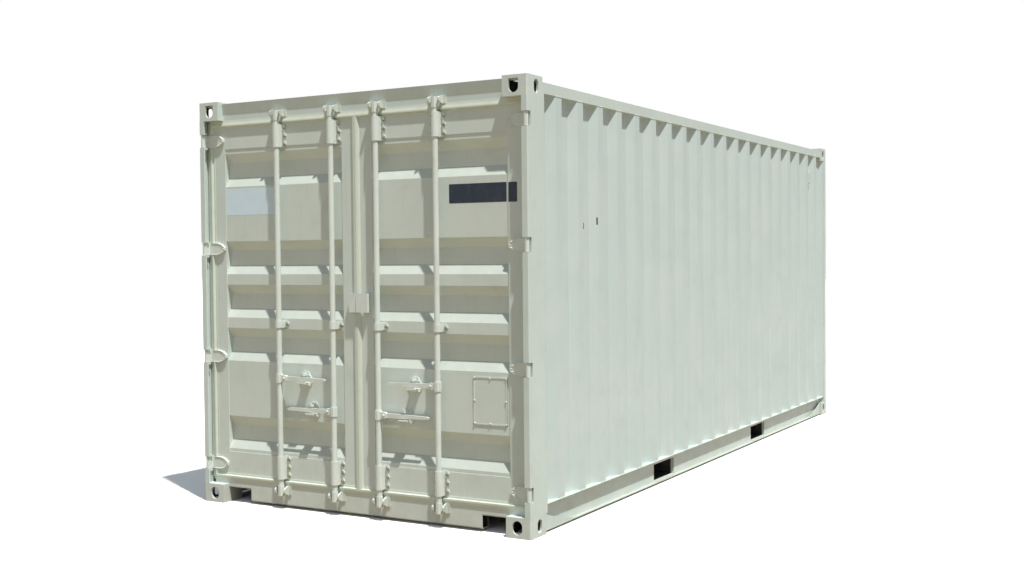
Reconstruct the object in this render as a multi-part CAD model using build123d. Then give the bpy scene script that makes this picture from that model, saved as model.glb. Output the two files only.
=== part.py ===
from build123d import *
import os
from math import cos, radians, sin, sqrt

# A twenty-foot dry freight container: welded frame, corrugated skin, two hinged doors, four locking bars.
# Millimetres, +Z up. The doors are at -X, the closed end at +X, +Y is the left side seen from the doors.
# The origin is under the middle of the box, on the plane on which its bottom corner castings rest.
# "Depth" below is the distance in +X behind the outermost plane of the door end.

# Overall size, over the corner castings
LENGTH = 6058.0
WIDTH = 2438.0
HEIGHT = 2591.0

# Corner castings: slots and holes are placed from the casting's two outer faces
CASTING_LENGTH = 178.0
CASTING_WIDTH = 162.0
CASTING_HEIGHT = 118.0
CASTING_PLATE = 28.0
CASTING_WALL = 14.0
CASTING_ROUND = 8.0
SLOT_LENGTH = 124.5
SLOT_WIDTH = 63.5
SLOT_FROM_END = 102.5
SLOT_FROM_SIDE = 89.5
END_HOLE_WIDTH = 63.5
SIDE_HOLE_WIDTH = 51.0
HOLE_HEIGHT = 79.5

# Rear posts, which carry the hinges
REAR_POST_DEPTH = 196.0
REAR_POST_PLATE = 12.0
REAR_POST_FLANGE = 40.0
REAR_POST_BOX_DEPTH = 101.0
REAR_POST_BOX_WIDTH = 47.0
REAR_POST_WALL = 6.0
POST_ROUND = 6.0

# Front posts
FRONT_POST_DEPTH = 85.0
FRONT_POST_WIDTH = 80.0
FRONT_POST_WALL = 6.0

# Door header, from the top of the box downwards, and door sill
FRAME_FACE_DEPTH = 54.0
FRAME_BACK_DEPTH = 123.0
FRAME_PLATE = 6.0
HEADER_DROP = 11.0
HEADER_EDGE_DEPTH = 40.0
HEADER_BAND = 65.0
HEADER_FACE = 45.0
HEADER_LIP = 12.0
HEADER_STOP = 20.0
SILL_BOTTOM = 17.0
SILL_HEIGHT = 133.0
SILL_ROUND = 9.0
NOTCH_WIDTH = 189.0
NOTCH_HEIGHT = 78.0

# Bottom side rails and the gussets at their ends
RAIL_BOTTOM = 12.5
BOTTOM_RAIL_INSET = 43.0
BOTTOM_RAIL_HEIGHT = 158.5
BOTTOM_RAIL_PLATE = 4.5
BOTTOM_FLANGE_REACH = 30.0
GUSSET_INSET = 18.0
GUSSET_PLATE = 6.0
GUSSET_LENGTH = 430.0
GUSSET_HEIGHT = 98.0
GUSSET_STEPS = 6
GUSSET_SWEEP = 1.4

# Top rails
TOP_RAIL_SIZE = 60.0
TOP_RAIL_WALL = 3.0
TOP_RAIL_DROP = 30.0

# Corrugated sides
SHEET = 2.0
SIDE_SETBACK = 5.0
SIDE_PITCH = 280.0
SIDE_FLAT = 72.0
SIDE_SLOPE = 68.0
SIDE_RECESS = 36.0
SIDE_FIRST = 49.0

# Corrugated closed end
END_SETBACK = 10.0
END_WAVES = 9
END_OUTER_FLAT = 110.0
END_SLOPE = 26.0
END_RECESS = 45.0

# Roof
ROOF_RISE = 20.0
ROOF_WAVES = 27
ROOF_FLAT = 91.0
ROOF_TAPER = 35.0
ROOF_END_MARGIN = 60.0
ROOF_SIDE_MARGIN = 84.0

# Floor, cross members and fork pockets
FLOOR_TOP = 170.0
FLOOR_BOARD = 28.0
CROSS_MEMBER_HEIGHT = 122.0
CROSS_MEMBER_UPPER = 45.0
CROSS_MEMBER_LOWER = 40.0
CROSS_MEMBER_WALL = 4.0
CROSS_MEMBER_COUNT = 18
POCKET_OFFSET = 1025.0
POCKET_WIDTH = 360.0
POCKET_HEIGHT = 115.0
POCKET_WALL = 6.0
POCKET_LIP = 10.0
POCKET_STRAP = 300.0

# Door leaves, each a hollow frame round a recessed sheet
DOOR_DEPTH = 62.0
DOOR_THICKNESS = 50.0
DOOR_EDGE_INSET = 69.0
DOOR_CENTRE_INSET = 22.0
DOOR_FOOT_GAP = 6.0
DOOR_HEAD_GAP = 10.0
HINGE_STILE = 95.0
CENTRE_STILE = 90.0
DOOR_RAIL = 150.0
DOOR_WALL = 3.2
PANEL_SETBACK = 4.0
PANEL_RECESS = 36.0
PANEL_SLOPE = 58.0
PANEL_FLAT = 97.0
PANEL_PITCH = 280.0
PANEL_FROM_FOOT = 280.0
PANEL_FROM_HEAD = 288.0

# Door gaskets
LIP_THICK = 9.5
LIP_ROUND = 8.5
LIP_CLEAR = 5.0
LIP_REACH = 35.0
LIP_CENTRE_GAP = 3.1
LIP_HEAD_WIDTH = 40.0
LIP_FOOT_WIDTH = 32.0
LIP_EDGE_WIDTH = 45.0
LIP_CENTRE_LEFT = 30.0
LIP_CENTRE_RIGHT = 20.0
SEAL_THICK = 8.0
SEAL_DEPTH = 30.0

# Hinges
HINGE_COUNT = 4
HINGE_FROM_FOOT = 72.0
HINGE_FROM_HEAD = 95.0
HINGE_DEPTH = 16.0
HINGE_INSET = 19.0
HINGE_EYE = 13.6
HINGE_FACETS = 12
HINGE_HEIGHT = 80.0
HINGE_GAP = 2.0
HINGE_LUG = 12.0
HINGE_CUT = 36.0
HINGE_PLATE = 11.5
HINGE_ARM_IN = 10.0
HINGE_ARM_OUT = 1.0
HINGE_REACH = 90.0
HINGE_TAPER = 60.0
HINGE_SHOULDER = 24.0
HINGE_SHOULDER_HALF = 29.0
HINGE_NOSE_HALF = 9.0

# Locking bars, with their end fittings and the keepers beside them
BAR_INNER = 168.0
BAR_FROM_SIDE = 626.0
BAR_DEPTH = 24.5
BAR_RADIUS = 17.0
BAR_FOOT = 67.0
BAR_HEAD_GAP = 5.0
CAM_COLLAR = 19.0
CAM_HEIGHT = 64.0
CAM_REACH = 22.0
CAM_THICK = 20.0
CAM_TIP = 12.0
CAM_FACE = 38.0
KEEPER_GAP = 30.0
KEEPER_HORN = 12.0
KEEPER_BASE = 58.0
KEEPER_TIP = 30.0
KEEPER_SHOULDER = 16.0
KEEPER_DEPTH = 6.0
KEEPER_FOOT = 18.0
KEEPER_PLATE = 6.0

# Bearing brackets and guides of the bars
BRACKET_RADIUS = 23.0
BRACKET_FACETS = 6
BRACKET_FIT = 0.5
BRACKET_HEIGHT = 146.0
BRACKET_PLATE = 6.0
BRACKET_LOBE = 50.0
BRACKET_WAIST = 40.0
BRACKET_LOBE_HALF = 13.0
BRACKET_PITCH = 52.0
BRACKET_HEAD_GAP = 16.0
BRACKET_FOOT_GAP = 12.0
GUIDE_HEIGHT = 44.0

# Handles and their catches
HANDLE_HIGH = 652.0
HANDLE_LOW = 462.0
HANDLE_LENGTH = 362.0
HANDLE_THICK = 12.0
HANDLE_ROOT = 30.0
HANDLE_NECK = 24.0
HANDLE_NECK_AT = 210.0
HANDLE_TIP = 17.0
HUB_RADIUS = 21.0
HUB_HEIGHT = 56.0
EAR_REACH = 62.0
EAR_HEIGHT = 40.0
EAR_TIP = 24.0
EAR_PLATE = 6.0
CATCH_DISTANCE = 182.0
CATCH_WIDTH = 96.0
CATCH_CLEAR = 6.0
CATCH_PLATE = 6.0
CATCH_DROP = 44.0
CATCH_RISE = 26.0
SHELF_WIDTH = 64.0
SHELF_DEPTH = 8.0
HOOK_WIDTH = 18.0
HOOK_RISE = 46.0
HOOK_DEPTH = 16.0

# Guard over the meeting edges, in two halves
GUARD_HEIGHT = 115.0
GUARD_DEPTH = 30.0
GUARD_PLATE = 6.0
GUARD_RIGHT = 90.0
GUARD_LEFT = 47.0

# Vents high on the sides, in a hollow counted from the closed end
VENT_HOLLOW = 2
VENT_DROP = 299.0
VENT_WIDTH = 64.0
VENT_HEIGHT = 110.0
VENT_THICK = 26.0
VENT_SLOPE = 9.0

# Places that follow from the sizes above, from the outside of the box inwards
X_DOOR = -LENGTH / 2
X_CLOSED = LENGTH / 2
Y_SIDE = WIDTH / 2
X_CASTING = X_CLOSED - CASTING_LENGTH
Y_CASTING = Y_SIDE - CASTING_WIDTH
Z_CASTING = HEIGHT - CASTING_HEIGHT
X_SLOT = X_CLOSED - SLOT_FROM_END
Y_SLOT = Y_SIDE - SLOT_FROM_SIDE
X_REAR_POST = X_DOOR + REAR_POST_DEPTH
X_FRONT_POST = X_CLOSED - FRONT_POST_DEPTH
Y_REAR_POST = Y_SIDE - REAR_POST_BOX_WIDTH
Y_FRONT_POST = Y_SIDE - FRONT_POST_WIDTH
Y_SKIN = Y_SIDE - SIDE_SETBACK
X_SKIN = X_CLOSED - END_SETBACK
X_END_RAIL = X_SKIN - TOP_RAIL_SIZE
TOP_RAIL_TOP = HEIGHT - TOP_RAIL_DROP
TOP_RAIL_BOTTOM = TOP_RAIL_TOP - TOP_RAIL_SIZE
X_FRAME_FACE = X_DOOR + FRAME_FACE_DEPTH
X_FRAME_BACK = X_DOOR + FRAME_BACK_DEPTH
HEADER_TOP = HEIGHT - HEADER_DROP
HEADER_BEND = HEADER_TOP - HEADER_BAND
HEADER_BOTTOM = HEADER_BEND - HEADER_FACE
OPENING_TOP = HEADER_BOTTOM - HEADER_STOP
SILL_TOP = SILL_BOTTOM + SILL_HEIGHT
Y_NOTCH = Y_CASTING - NOTCH_WIDTH
NOTCH_TOP = SILL_BOTTOM + NOTCH_HEIGHT
Y_WEB = Y_SIDE - BOTTOM_RAIL_INSET
Y_WEB_OUT = Y_WEB + BOTTOM_RAIL_PLATE
RAIL_TOP = RAIL_BOTTOM + BOTTOM_RAIL_HEIGHT
RAIL_LOW = RAIL_BOTTOM + BOTTOM_RAIL_PLATE
POCKET_BOTTOM = RAIL_BOTTOM + POCKET_LIP
POCKET_TOP = POCKET_BOTTOM + POCKET_HEIGHT
FLOOR_BOTTOM = FLOOR_TOP - FLOOR_BOARD
X_LEAF = X_DOOR + DOOR_DEPTH
X_LEAF_BACK = X_LEAF + DOOR_THICKNESS
X_PANEL = X_LEAF + PANEL_SETBACK
Y_LEAF_OUT = Y_SIDE - DOOR_EDGE_INSET
Y_LEAF_IN = DOOR_CENTRE_INSET
DOOR_BOTTOM = FLOOR_TOP + DOOR_FOOT_GAP
DOOR_TOP = OPENING_TOP - DOOR_HEAD_GAP
DOOR_MIDDLE = (DOOR_BOTTOM + DOOR_TOP) / 2
PANEL_LEVELS = (DOOR_BOTTOM + PANEL_FROM_FOOT, DOOR_MIDDLE - PANEL_PITCH, DOOR_MIDDLE,
                DOOR_MIDDLE + PANEL_PITCH, DOOR_TOP - PANEL_FROM_HEAD)
HINGE_LOWEST = DOOR_BOTTOM + HINGE_FROM_FOOT
HINGE_PITCH = (DOOR_TOP - HINGE_FROM_HEAD - HINGE_LOWEST) / (HINGE_COUNT - 1)
HINGE_LEVELS = [HINGE_LOWEST + HINGE_PITCH * index for index in range(HINGE_COUNT)]
X_PIN = X_DOOR + HINGE_DEPTH
Y_PIN = Y_SIDE - HINGE_INSET
X_BAR = X_DOOR + BAR_DEPTH
BAR_OUTER = Y_SIDE - BAR_FROM_SIDE
BAR_OFFSETS = (BAR_OUTER, BAR_INNER, -BAR_INNER, -BAR_OUTER)
BAR_BOTTOM = SILL_BOTTOM + BAR_FOOT
BAR_TOP = HEADER_BEND - BAR_HEAD_GAP
GUIDE_LEVEL = DOOR_MIDDLE - PANEL_PITCH / 2
VENT_LEVEL = HEIGHT - VENT_DROP


def block(x0, x1, y0, y1, z0, z1):
    """A box between two values on each axis, given in either order."""
    size = Box(abs(x1 - x0), abs(y1 - y0), abs(z1 - z0))
    return Pos((x0 + x1) / 2, (y0 + y1) / 2, (z0 + z1) / 2) * size


def anticlockwise(points):
    """The points in the order that makes a polygon face along its plane's normal."""
    doubled = 0.0
    for (ax, ay), (bx, by) in zip(points, points[1:] + points[:1]):
        doubled += ax * by - bx * ay
    return points if doubled > 0 else points[::-1]


def plan_prism(points, z0, z1):
    """A polygon of (x, y) points raised from z0 to z1."""
    face = Plane.XY.offset(z0) * Polygon(*anticlockwise(points), align=None)
    return extrude(face, amount=z1 - z0)


def side_prism(points, y0, y1):
    """A polygon of (x, z) points run from y0 to y1."""
    face = Plane.XZ.offset(-y1) * Polygon(*anticlockwise(points), align=None)
    return extrude(face, amount=y1 - y0)


def end_prism(points, x0, x1):
    """A polygon of (y, z) points run from x0 to x1."""
    face = Plane.YZ.offset(x0) * Polygon(*anticlockwise(points), align=None)
    return extrude(face, amount=x1 - x0)


def rod(x, y, z0, z1, radius):
    """An upright cylinder."""
    return Pos(x, y, (z0 + z1) / 2) * Cylinder(radius, z1 - z0)


def sheet_outline(line, thick):
    """The outline of a bent sheet: the line itself and a mitred copy of it on its left."""
    normals = []
    for (ax, ay), (bx, by) in zip(line, line[1:]):
        run = sqrt((bx - ax) ** 2 + (by - ay) ** 2)
        normals.append((-(by - ay) / run, (bx - ax) / run))
    other = []
    for index, (px, py) in enumerate(line):
        before = normals[max(index - 1, 0)]
        after = normals[min(index, len(normals) - 1)]
        mx, my = before[0] + after[0], before[1] + after[1]
        scale = 2 * thick / (mx * mx + my * my)
        other.append((px + mx * scale, py + my * scale))
    return list(line) + other[::-1]


def both_sides(shape):
    """The shape and its copy on the other side of the box."""
    return [shape, mirror(shape, Plane.XZ)]


def save(name, *shapes):
    """Write one node of the assembly."""
    solids = []
    for shape in shapes:
        solids.extend(shape.solids())
    whole = solids[0] if len(solids) == 1 else Compound(children=solids)
    whole.label = name
    export_step(whole, f"parts/{name}.step")


def lower_casting():
    """A hollow bottom casting at +X, +Y: a slot below, and a tall round-ended hole at its end and side."""
    body = block(X_CASTING, X_CLOSED, Y_CASTING, Y_SIDE, 0, CASTING_HEIGHT)
    corner = body.edges().filter_by(Axis.Z).sort_by(lambda e: e.center().X + e.center().Y)[-1:]
    body = chamfer(corner, CASTING_ROUND)
    hollow = block(X_CASTING + CASTING_WALL, X_CLOSED - CASTING_WALL,
                   Y_CASTING + CASTING_WALL, Y_SIDE - CASTING_WALL,
                   CASTING_PLATE, CASTING_HEIGHT - CASTING_WALL)
    slot = extrude(Pos(X_SLOT, Y_SLOT, -1) * SlotOverall(SLOT_LENGTH, SLOT_WIDTH),
                   amount=CASTING_PLATE + 2)
    middle = CASTING_HEIGHT / 2
    end_face = Plane.YZ.offset(X_CLOSED - 2 * CASTING_WALL)
    end_shape = SlotOverall(HOLE_HEIGHT, END_HOLE_WIDTH, rotation=90)
    end_hole = extrude(end_face * Pos(Y_SLOT, middle) * end_shape, amount=3 * CASTING_WALL)
    side_face = Plane.XZ.offset(-Y_SIDE - CASTING_WALL)
    side_shape = SlotOverall(HOLE_HEIGHT, SIDE_HOLE_WIDTH, rotation=90)
    side_hole = extrude(side_face * Pos(X_SLOT, middle) * side_shape, amount=3 * CASTING_WALL)
    return body - hollow - slot - end_hole - side_hole


def upper_casting():
    """A hollow top casting at +X, +Y: a slot above, and an end hole with a flat top and a round bottom."""
    body = block(X_CASTING, X_CLOSED, Y_CASTING, Y_SIDE, Z_CASTING, HEIGHT)
    corner = body.edges().filter_by(Axis.Z).sort_by(lambda e: e.center().X + e.center().Y)[-1:]
    body = chamfer(corner, CASTING_ROUND)
    hollow = block(X_CASTING + CASTING_WALL, X_CLOSED - CASTING_WALL,
                   Y_CASTING + CASTING_WALL, Y_SIDE - CASTING_WALL,
                   Z_CASTING + CASTING_WALL, HEIGHT - CASTING_PLATE)
    slot = extrude(Pos(X_SLOT, Y_SLOT, HEIGHT - CASTING_PLATE - 1)
                   * SlotOverall(SLOT_LENGTH, SLOT_WIDTH), amount=CASTING_PLATE + 2)
    middle = HEIGHT - CASTING_HEIGHT / 2
    lift = HOLE_HEIGHT / 2 - END_HOLE_WIDTH / 2
    end_face = Plane.YZ.offset(X_CLOSED - 2 * CASTING_WALL)
    arch = Pos(0, -lift) * Circle(END_HOLE_WIDTH / 2)
    arch += Pos(0, (HOLE_HEIGHT / 2 - lift) / 2) * Rectangle(END_HOLE_WIDTH, HOLE_HEIGHT / 2 + lift)
    end_hole = extrude(end_face * Pos(Y_SLOT, middle) * arch, amount=3 * CASTING_WALL)
    side_face = Plane.XZ.offset(-Y_SIDE - CASTING_WALL)
    side_shape = SlotOverall(HOLE_HEIGHT, SIDE_HOLE_WIDTH, rotation=90)
    side_hole = extrude(side_face * Pos(X_SLOT, middle) * side_shape, amount=3 * CASTING_WALL)
    return body - hollow - slot - end_hole - side_hole


def rear_post():
    """The hinge post at +Y: a heavy channel with a box behind it, cut for each hinge, with its lugs."""
    z0, z1 = CASTING_HEIGHT, Z_CASTING
    x_box = X_REAR_POST - REAR_POST_BOX_DEPTH
    flange = block(X_DOOR, X_DOOR + REAR_POST_PLATE, Y_SIDE - REAR_POST_FLANGE, Y_SIDE, z0, z1)
    web = block(X_DOOR, X_REAR_POST, Y_SIDE - REAR_POST_PLATE, Y_SIDE, z0, z1)
    channel = flange + web
    corner = channel.edges().filter_by(Axis.Z).sort_by(lambda e: e.center().Y - e.center().X)[-1:]
    channel = chamfer(corner, POST_ROUND)
    box = block(x_box, X_REAR_POST, Y_REAR_POST, Y_SIDE - REAR_POST_PLATE, z0, z1)
    hollow = block(x_box + REAR_POST_WALL, X_REAR_POST - REAR_POST_WALL,
                   Y_REAR_POST + REAR_POST_WALL, Y_SIDE - REAR_POST_PLATE, z0, z1)
    post = channel + (box - hollow)
    reach = HINGE_HEIGHT / 2 + HINGE_GAP
    y_flange = Y_SIDE - REAR_POST_FLANGE
    if X_REAR_POST > -X_CASTING:
        post += block(-X_CASTING, X_REAR_POST, Y_SIDE - REAR_POST_PLATE, Y_SIDE, z1, TOP_RAIL_BOTTOM)
    for level in HINGE_LEVELS:
        for z_lug in (level - reach - HINGE_LUG, level + reach):
            post += block(X_DOOR + REAR_POST_PLATE, X_DOOR + HINGE_CUT, y_flange,
                          Y_SIDE - REAR_POST_PLATE, z_lug, z_lug + HINGE_LUG)
        post -= block(X_DOOR, X_DOOR + HINGE_CUT, y_flange, Y_SIDE, level - reach, level + reach)
    return post


def front_post():
    """The hollow post at +X, +Y."""
    outer = block(X_FRONT_POST, X_CLOSED, Y_FRONT_POST, Y_SIDE, CASTING_HEIGHT, Z_CASTING)
    corner = outer.edges().filter_by(Axis.Z).sort_by(lambda e: e.center().X + e.center().Y)[-1:]
    outer = chamfer(corner, POST_ROUND)
    hollow = block(X_FRONT_POST + FRONT_POST_WALL, X_CLOSED - FRONT_POST_WALL,
                   Y_FRONT_POST + FRONT_POST_WALL, Y_SIDE - FRONT_POST_WALL, CASTING_HEIGHT, Z_CASTING)
    return outer - hollow


def door_header():
    """The header's two folded plates: its upright face, and its cap with the slope, top, back and stop."""
    x_edge = X_DOOR + HEADER_EDGE_DEPTH
    x, x_back = X_FRAME_FACE, X_FRAME_BACK
    face = [(x + HEADER_LIP, HEADER_BOTTOM), (x, HEADER_BOTTOM), (x, HEADER_BEND)]
    cap = [(x, HEADER_BEND), (x_edge, HEADER_TOP), (x_back, HEADER_TOP), (x_back, OPENING_TOP)]
    plates = [side_prism(sheet_outline(face, -FRAME_PLATE), -Y_CASTING, Y_CASTING)]
    cap_plate = side_prism(sheet_outline(cap, -FRAME_PLATE), -Y_CASTING, Y_CASTING)
    cap_plate += block(x_back - FRAME_PLATE, x_back, -Y_REAR_POST, Y_REAR_POST, OPENING_TOP, Z_CASTING)
    plates.append(cap_plate - plates[0])
    return plates


def sill_length(y0, y1, z_low, wall_low):
    """One length of the hollow sill, its front edges rounded, with its own floor where wall_low is set."""
    x_face = X_FRAME_FACE
    outer = block(x_face, X_FRAME_BACK, y0, y1, z_low, SILL_TOP)
    front = outer.edges().filter_by(Axis.Y).group_by(Axis.X)[0]
    front = front if wall_low else front.sort_by(Axis.Z)[-1:]
    outer = fillet(front, SILL_ROUND)
    return outer - block(x_face + FRAME_PLATE, X_FRAME_BACK - FRAME_PLATE, y0, y1,
                         z_low + wall_low, SILL_TOP - FRAME_PLATE)


def door_sill():
    """The sill under the doors: deep in the middle, notched at its ends, carried on over the castings."""
    sill = sill_length(-Y_NOTCH, Y_NOTCH, SILL_BOTTOM, FRAME_PLATE)
    for side in (-1, 1):
        sill += sill_length(side * Y_NOTCH, side * Y_CASTING, NOTCH_TOP, FRAME_PLATE)
        sill += sill_length(side * Y_CASTING, side * Y_REAR_POST, CASTING_HEIGHT, 0)
    sill += block(X_FRAME_BACK - FRAME_PLATE, X_FRAME_BACK, -Y_REAR_POST, Y_REAR_POST, SILL_TOP, FLOOR_TOP)
    return sill


def bottom_side_rail():
    """The plates of the rail under the side at +Y: a channel open outwards, cut for the fork pockets."""
    y, web = Y_WEB, Y_WEB_OUT
    low, top = RAIL_LOW, RAIL_TOP - BOTTOM_RAIL_PLATE
    near, far = POCKET_OFFSET - POCKET_WIDTH / 2, POCKET_OFFSET + POCKET_WIDTH / 2
    plates = [block(X_REAR_POST, X_FRONT_POST, y, Y_SKIN, top, RAIL_TOP),
              block(-X_CASTING, X_CASTING, y, y + BOTTOM_FLANGE_REACH, RAIL_BOTTOM, low),
              block(-near, near, y, web, low, top),
              block(X_REAR_POST, -far, y, web, CASTING_HEIGHT, top),
              block(far, X_FRONT_POST, y, web, CASTING_HEIGHT, top)]
    for end in (-1, 1):
        plates.append(block(end * far, end * X_CASTING, y, web, low, CASTING_HEIGHT))
        plates.append(block(end * near, end * far, y, web, POCKET_TOP, top))
        plates.append(block(end * near, end * far, y, web, low, POCKET_BOTTOM))
    return plates


def rail_gussets():
    """The plates in the rail at +Y beside its castings, each sweeping down along the lower flange."""
    plates = []
    y0 = Y_WEB_OUT + GUSSET_INSET
    for end in (-1, 1):
        points = [(end * X_CASTING, RAIL_LOW)]
        for step in range(GUSSET_STEPS + 1):
            share = step / GUSSET_STEPS
            rise = GUSSET_HEIGHT * (1 - share) ** GUSSET_SWEEP
            points.append((end * (X_CASTING - GUSSET_LENGTH * share), RAIL_LOW + rise))
        plates.append(side_prism(points, y0, y0 + GUSSET_PLATE))
    return plates


def top_side_rail():
    """The hollow rail over the side at +Y."""
    outer = block(-X_CASTING, X_CASTING, Y_SKIN - TOP_RAIL_SIZE, Y_SKIN, TOP_RAIL_BOTTOM, TOP_RAIL_TOP)
    inner = block(-X_CASTING, X_CASTING, Y_SKIN - TOP_RAIL_SIZE + TOP_RAIL_WALL, Y_SKIN - TOP_RAIL_WALL,
                  TOP_RAIL_BOTTOM + TOP_RAIL_WALL, TOP_RAIL_TOP - TOP_RAIL_WALL)
    return outer - inner


def side_centres():
    """The places along the box of the hollows in a side wall."""
    first = X_REAR_POST + SIDE_FIRST
    count = int((X_FRONT_POST - SIDE_SLOPE - SIDE_FLAT / 2 - first) // SIDE_PITCH) + 1
    return [first + SIDE_PITCH * index for index in range(count)]


def side_wall():
    """The corrugated wall at +Y, hollows and crests upright, cut off at the posts."""
    line = []
    for x in side_centres():
        line.append((x - SIDE_FLAT / 2 - SIDE_SLOPE, Y_SKIN))
        line.append((x - SIDE_FLAT / 2, Y_SKIN - SIDE_RECESS))
        line.append((x + SIDE_FLAT / 2, Y_SKIN - SIDE_RECESS))
        line.append((x + SIDE_FLAT / 2 + SIDE_SLOPE, Y_SKIN))
    line.append((X_CLOSED, Y_SKIN))
    wall = plan_prism(sheet_outline(line, -SHEET), RAIL_TOP, TOP_RAIL_BOTTOM)
    y_back = Y_SKIN - SIDE_RECESS - 2 * SHEET
    wall &= block(X_REAR_POST, X_FRONT_POST, y_back, Y_SKIN, RAIL_TOP, TOP_RAIL_BOTTOM)
    for end in (-1, 1):
        wall -= block(end * X_CASTING, end * X_CLOSED, Y_CASTING, Y_SIDE, Z_CASTING, HEIGHT)
    return wall


def front_wall():
    """The corrugated closed end, hollows and crests upright."""
    half = Y_FRONT_POST
    pitch = (2 * half - END_OUTER_FLAT) / END_WAVES
    inner_flat = pitch - END_OUTER_FLAT - 2 * END_SLOPE
    y = -half
    line = [(X_SKIN, y)]
    for _ in range(END_WAVES):
        y += END_OUTER_FLAT
        line.append((X_SKIN, y))
        y += END_SLOPE
        line.append((X_SKIN - END_RECESS, y))
        y += inner_flat
        line.append((X_SKIN - END_RECESS, y))
        y += END_SLOPE
        line.append((X_SKIN, y))
    line.append((X_SKIN, half))
    wall = plan_prism(sheet_outline(line, SHEET), RAIL_TOP, TOP_RAIL_BOTTOM)
    for side in (-1, 1):
        wall -= block(X_CASTING, X_CLOSED, side * Y_CASTING, side * Y_SIDE, Z_CASTING, HEIGHT)
    return wall


def front_bottom_rail():
    """The hollow rail under the closed end."""
    rail = block(X_END_RAIL, X_SKIN, -Y_CASTING, Y_CASTING, SILL_BOTTOM, RAIL_TOP)
    rail -= block(X_END_RAIL + FRAME_PLATE, X_SKIN - FRAME_PLATE, -Y_CASTING, Y_CASTING,
                  SILL_BOTTOM + FRAME_PLATE, RAIL_TOP - FRAME_PLATE)
    for side in (-1, 1):
        step = block(X_END_RAIL, X_SKIN, side * Y_CASTING, side * Y_FRONT_POST, CASTING_HEIGHT, RAIL_TOP)
        step -= block(X_END_RAIL + FRAME_PLATE, X_SKIN - FRAME_PLATE, side * Y_CASTING, side * Y_FRONT_POST,
                      CASTING_HEIGHT, RAIL_TOP - FRAME_PLATE)
        rail += step
    return rail


def front_top_rail():
    """The hollow rail over the closed end."""
    outer = block(X_END_RAIL, X_SKIN, -Y_CASTING, Y_CASTING, TOP_RAIL_BOTTOM, TOP_RAIL_TOP)
    inner = block(X_END_RAIL + TOP_RAIL_WALL, X_SKIN - TOP_RAIL_WALL, -Y_CASTING, Y_CASTING,
                  TOP_RAIL_BOTTOM + TOP_RAIL_WALL, TOP_RAIL_TOP - TOP_RAIL_WALL)
    return outer - inner


def roof():
    """The roof sheet: shallow tapered crests across it, with flat margins along its edges."""
    low = TOP_RAIL_TOP
    sheet = block(X_FRAME_BACK, X_SKIN, -Y_CASTING, Y_CASTING, low, low + SHEET)
    sheet += block(-X_CASTING, X_CASTING, -Y_SKIN, Y_SKIN, low, low + SHEET)
    x0, x1 = X_FRAME_BACK + ROOF_END_MARGIN, X_END_RAIL - ROOF_END_MARGIN / 2
    pitch = (x1 - x0 + ROOF_FLAT) / ROOF_WAVES
    width = pitch - ROOF_FLAT
    long = 2 * (Y_SKIN - ROOF_SIDE_MARGIN)
    places = [x0 + width / 2 + pitch * index for index in range(ROOF_WAVES)]
    crests, hollows = [], []
    for x in places:
        reach = long
        if abs(x) + width / 2 > X_CASTING:
            reach = min(long, 2 * (Y_CASTING - ROOF_SIDE_MARGIN / 2))
        crest = Pos(x, 0, low + SHEET) * Rectangle(width, reach)
        crests.append(extrude(crest, amount=ROOF_RISE, taper=ROOF_TAPER))
        hollow = Pos(x, 0, low) * Rectangle(width, reach)
        hollows.append(extrude(hollow, amount=ROOF_RISE, taper=ROOF_TAPER))
    return (sheet + crests) - hollows


def floor():
    """The floor boards between the bottom rails, the sill and the closed end."""
    boards = block(X_FRAME_BACK, X_END_RAIL, -Y_WEB, Y_WEB, FLOOR_BOTTOM, FLOOR_TOP)
    for side in (-1, 1):
        boards -= block(X_FRONT_POST, X_CLOSED, side * Y_FRONT_POST, side * Y_SIDE, FLOOR_BOTTOM, FLOOR_TOP)
        boards -= block(X_DOOR, X_REAR_POST, side * Y_REAR_POST, side * Y_SIDE, FLOOR_BOTTOM, FLOOR_TOP)
    return boards


def cross_members():
    """The channels under the floor, left out where the fork pockets run."""
    members = []
    x0, x1 = X_FRAME_BACK, X_END_RAIL
    pitch = (x1 - x0) / (CROSS_MEMBER_COUNT + 1)
    low = FLOOR_BOTTOM - CROSS_MEMBER_HEIGHT
    keep = POCKET_WIDTH / 2 + POCKET_WALL
    for index in range(1, CROSS_MEMBER_COUNT + 1):
        x = x0 + pitch * index
        wide = max(CROSS_MEMBER_UPPER, CROSS_MEMBER_LOWER)
        if any(centre - keep - wide < x < centre + keep + 1 for centre in (-POCKET_OFFSET, POCKET_OFFSET)):
            continue
        points = [(x, low), (x + CROSS_MEMBER_LOWER, low),
                  (x + CROSS_MEMBER_LOWER, low + CROSS_MEMBER_WALL),
                  (x + CROSS_MEMBER_WALL, low + CROSS_MEMBER_WALL),
                  (x + CROSS_MEMBER_WALL, FLOOR_BOTTOM - CROSS_MEMBER_WALL),
                  (x + CROSS_MEMBER_UPPER, FLOOR_BOTTOM - CROSS_MEMBER_WALL),
                  (x + CROSS_MEMBER_UPPER, FLOOR_BOTTOM), (x, FLOOR_BOTTOM)]
        members.append(side_prism(points, -Y_WEB, Y_WEB))
    return members


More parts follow.
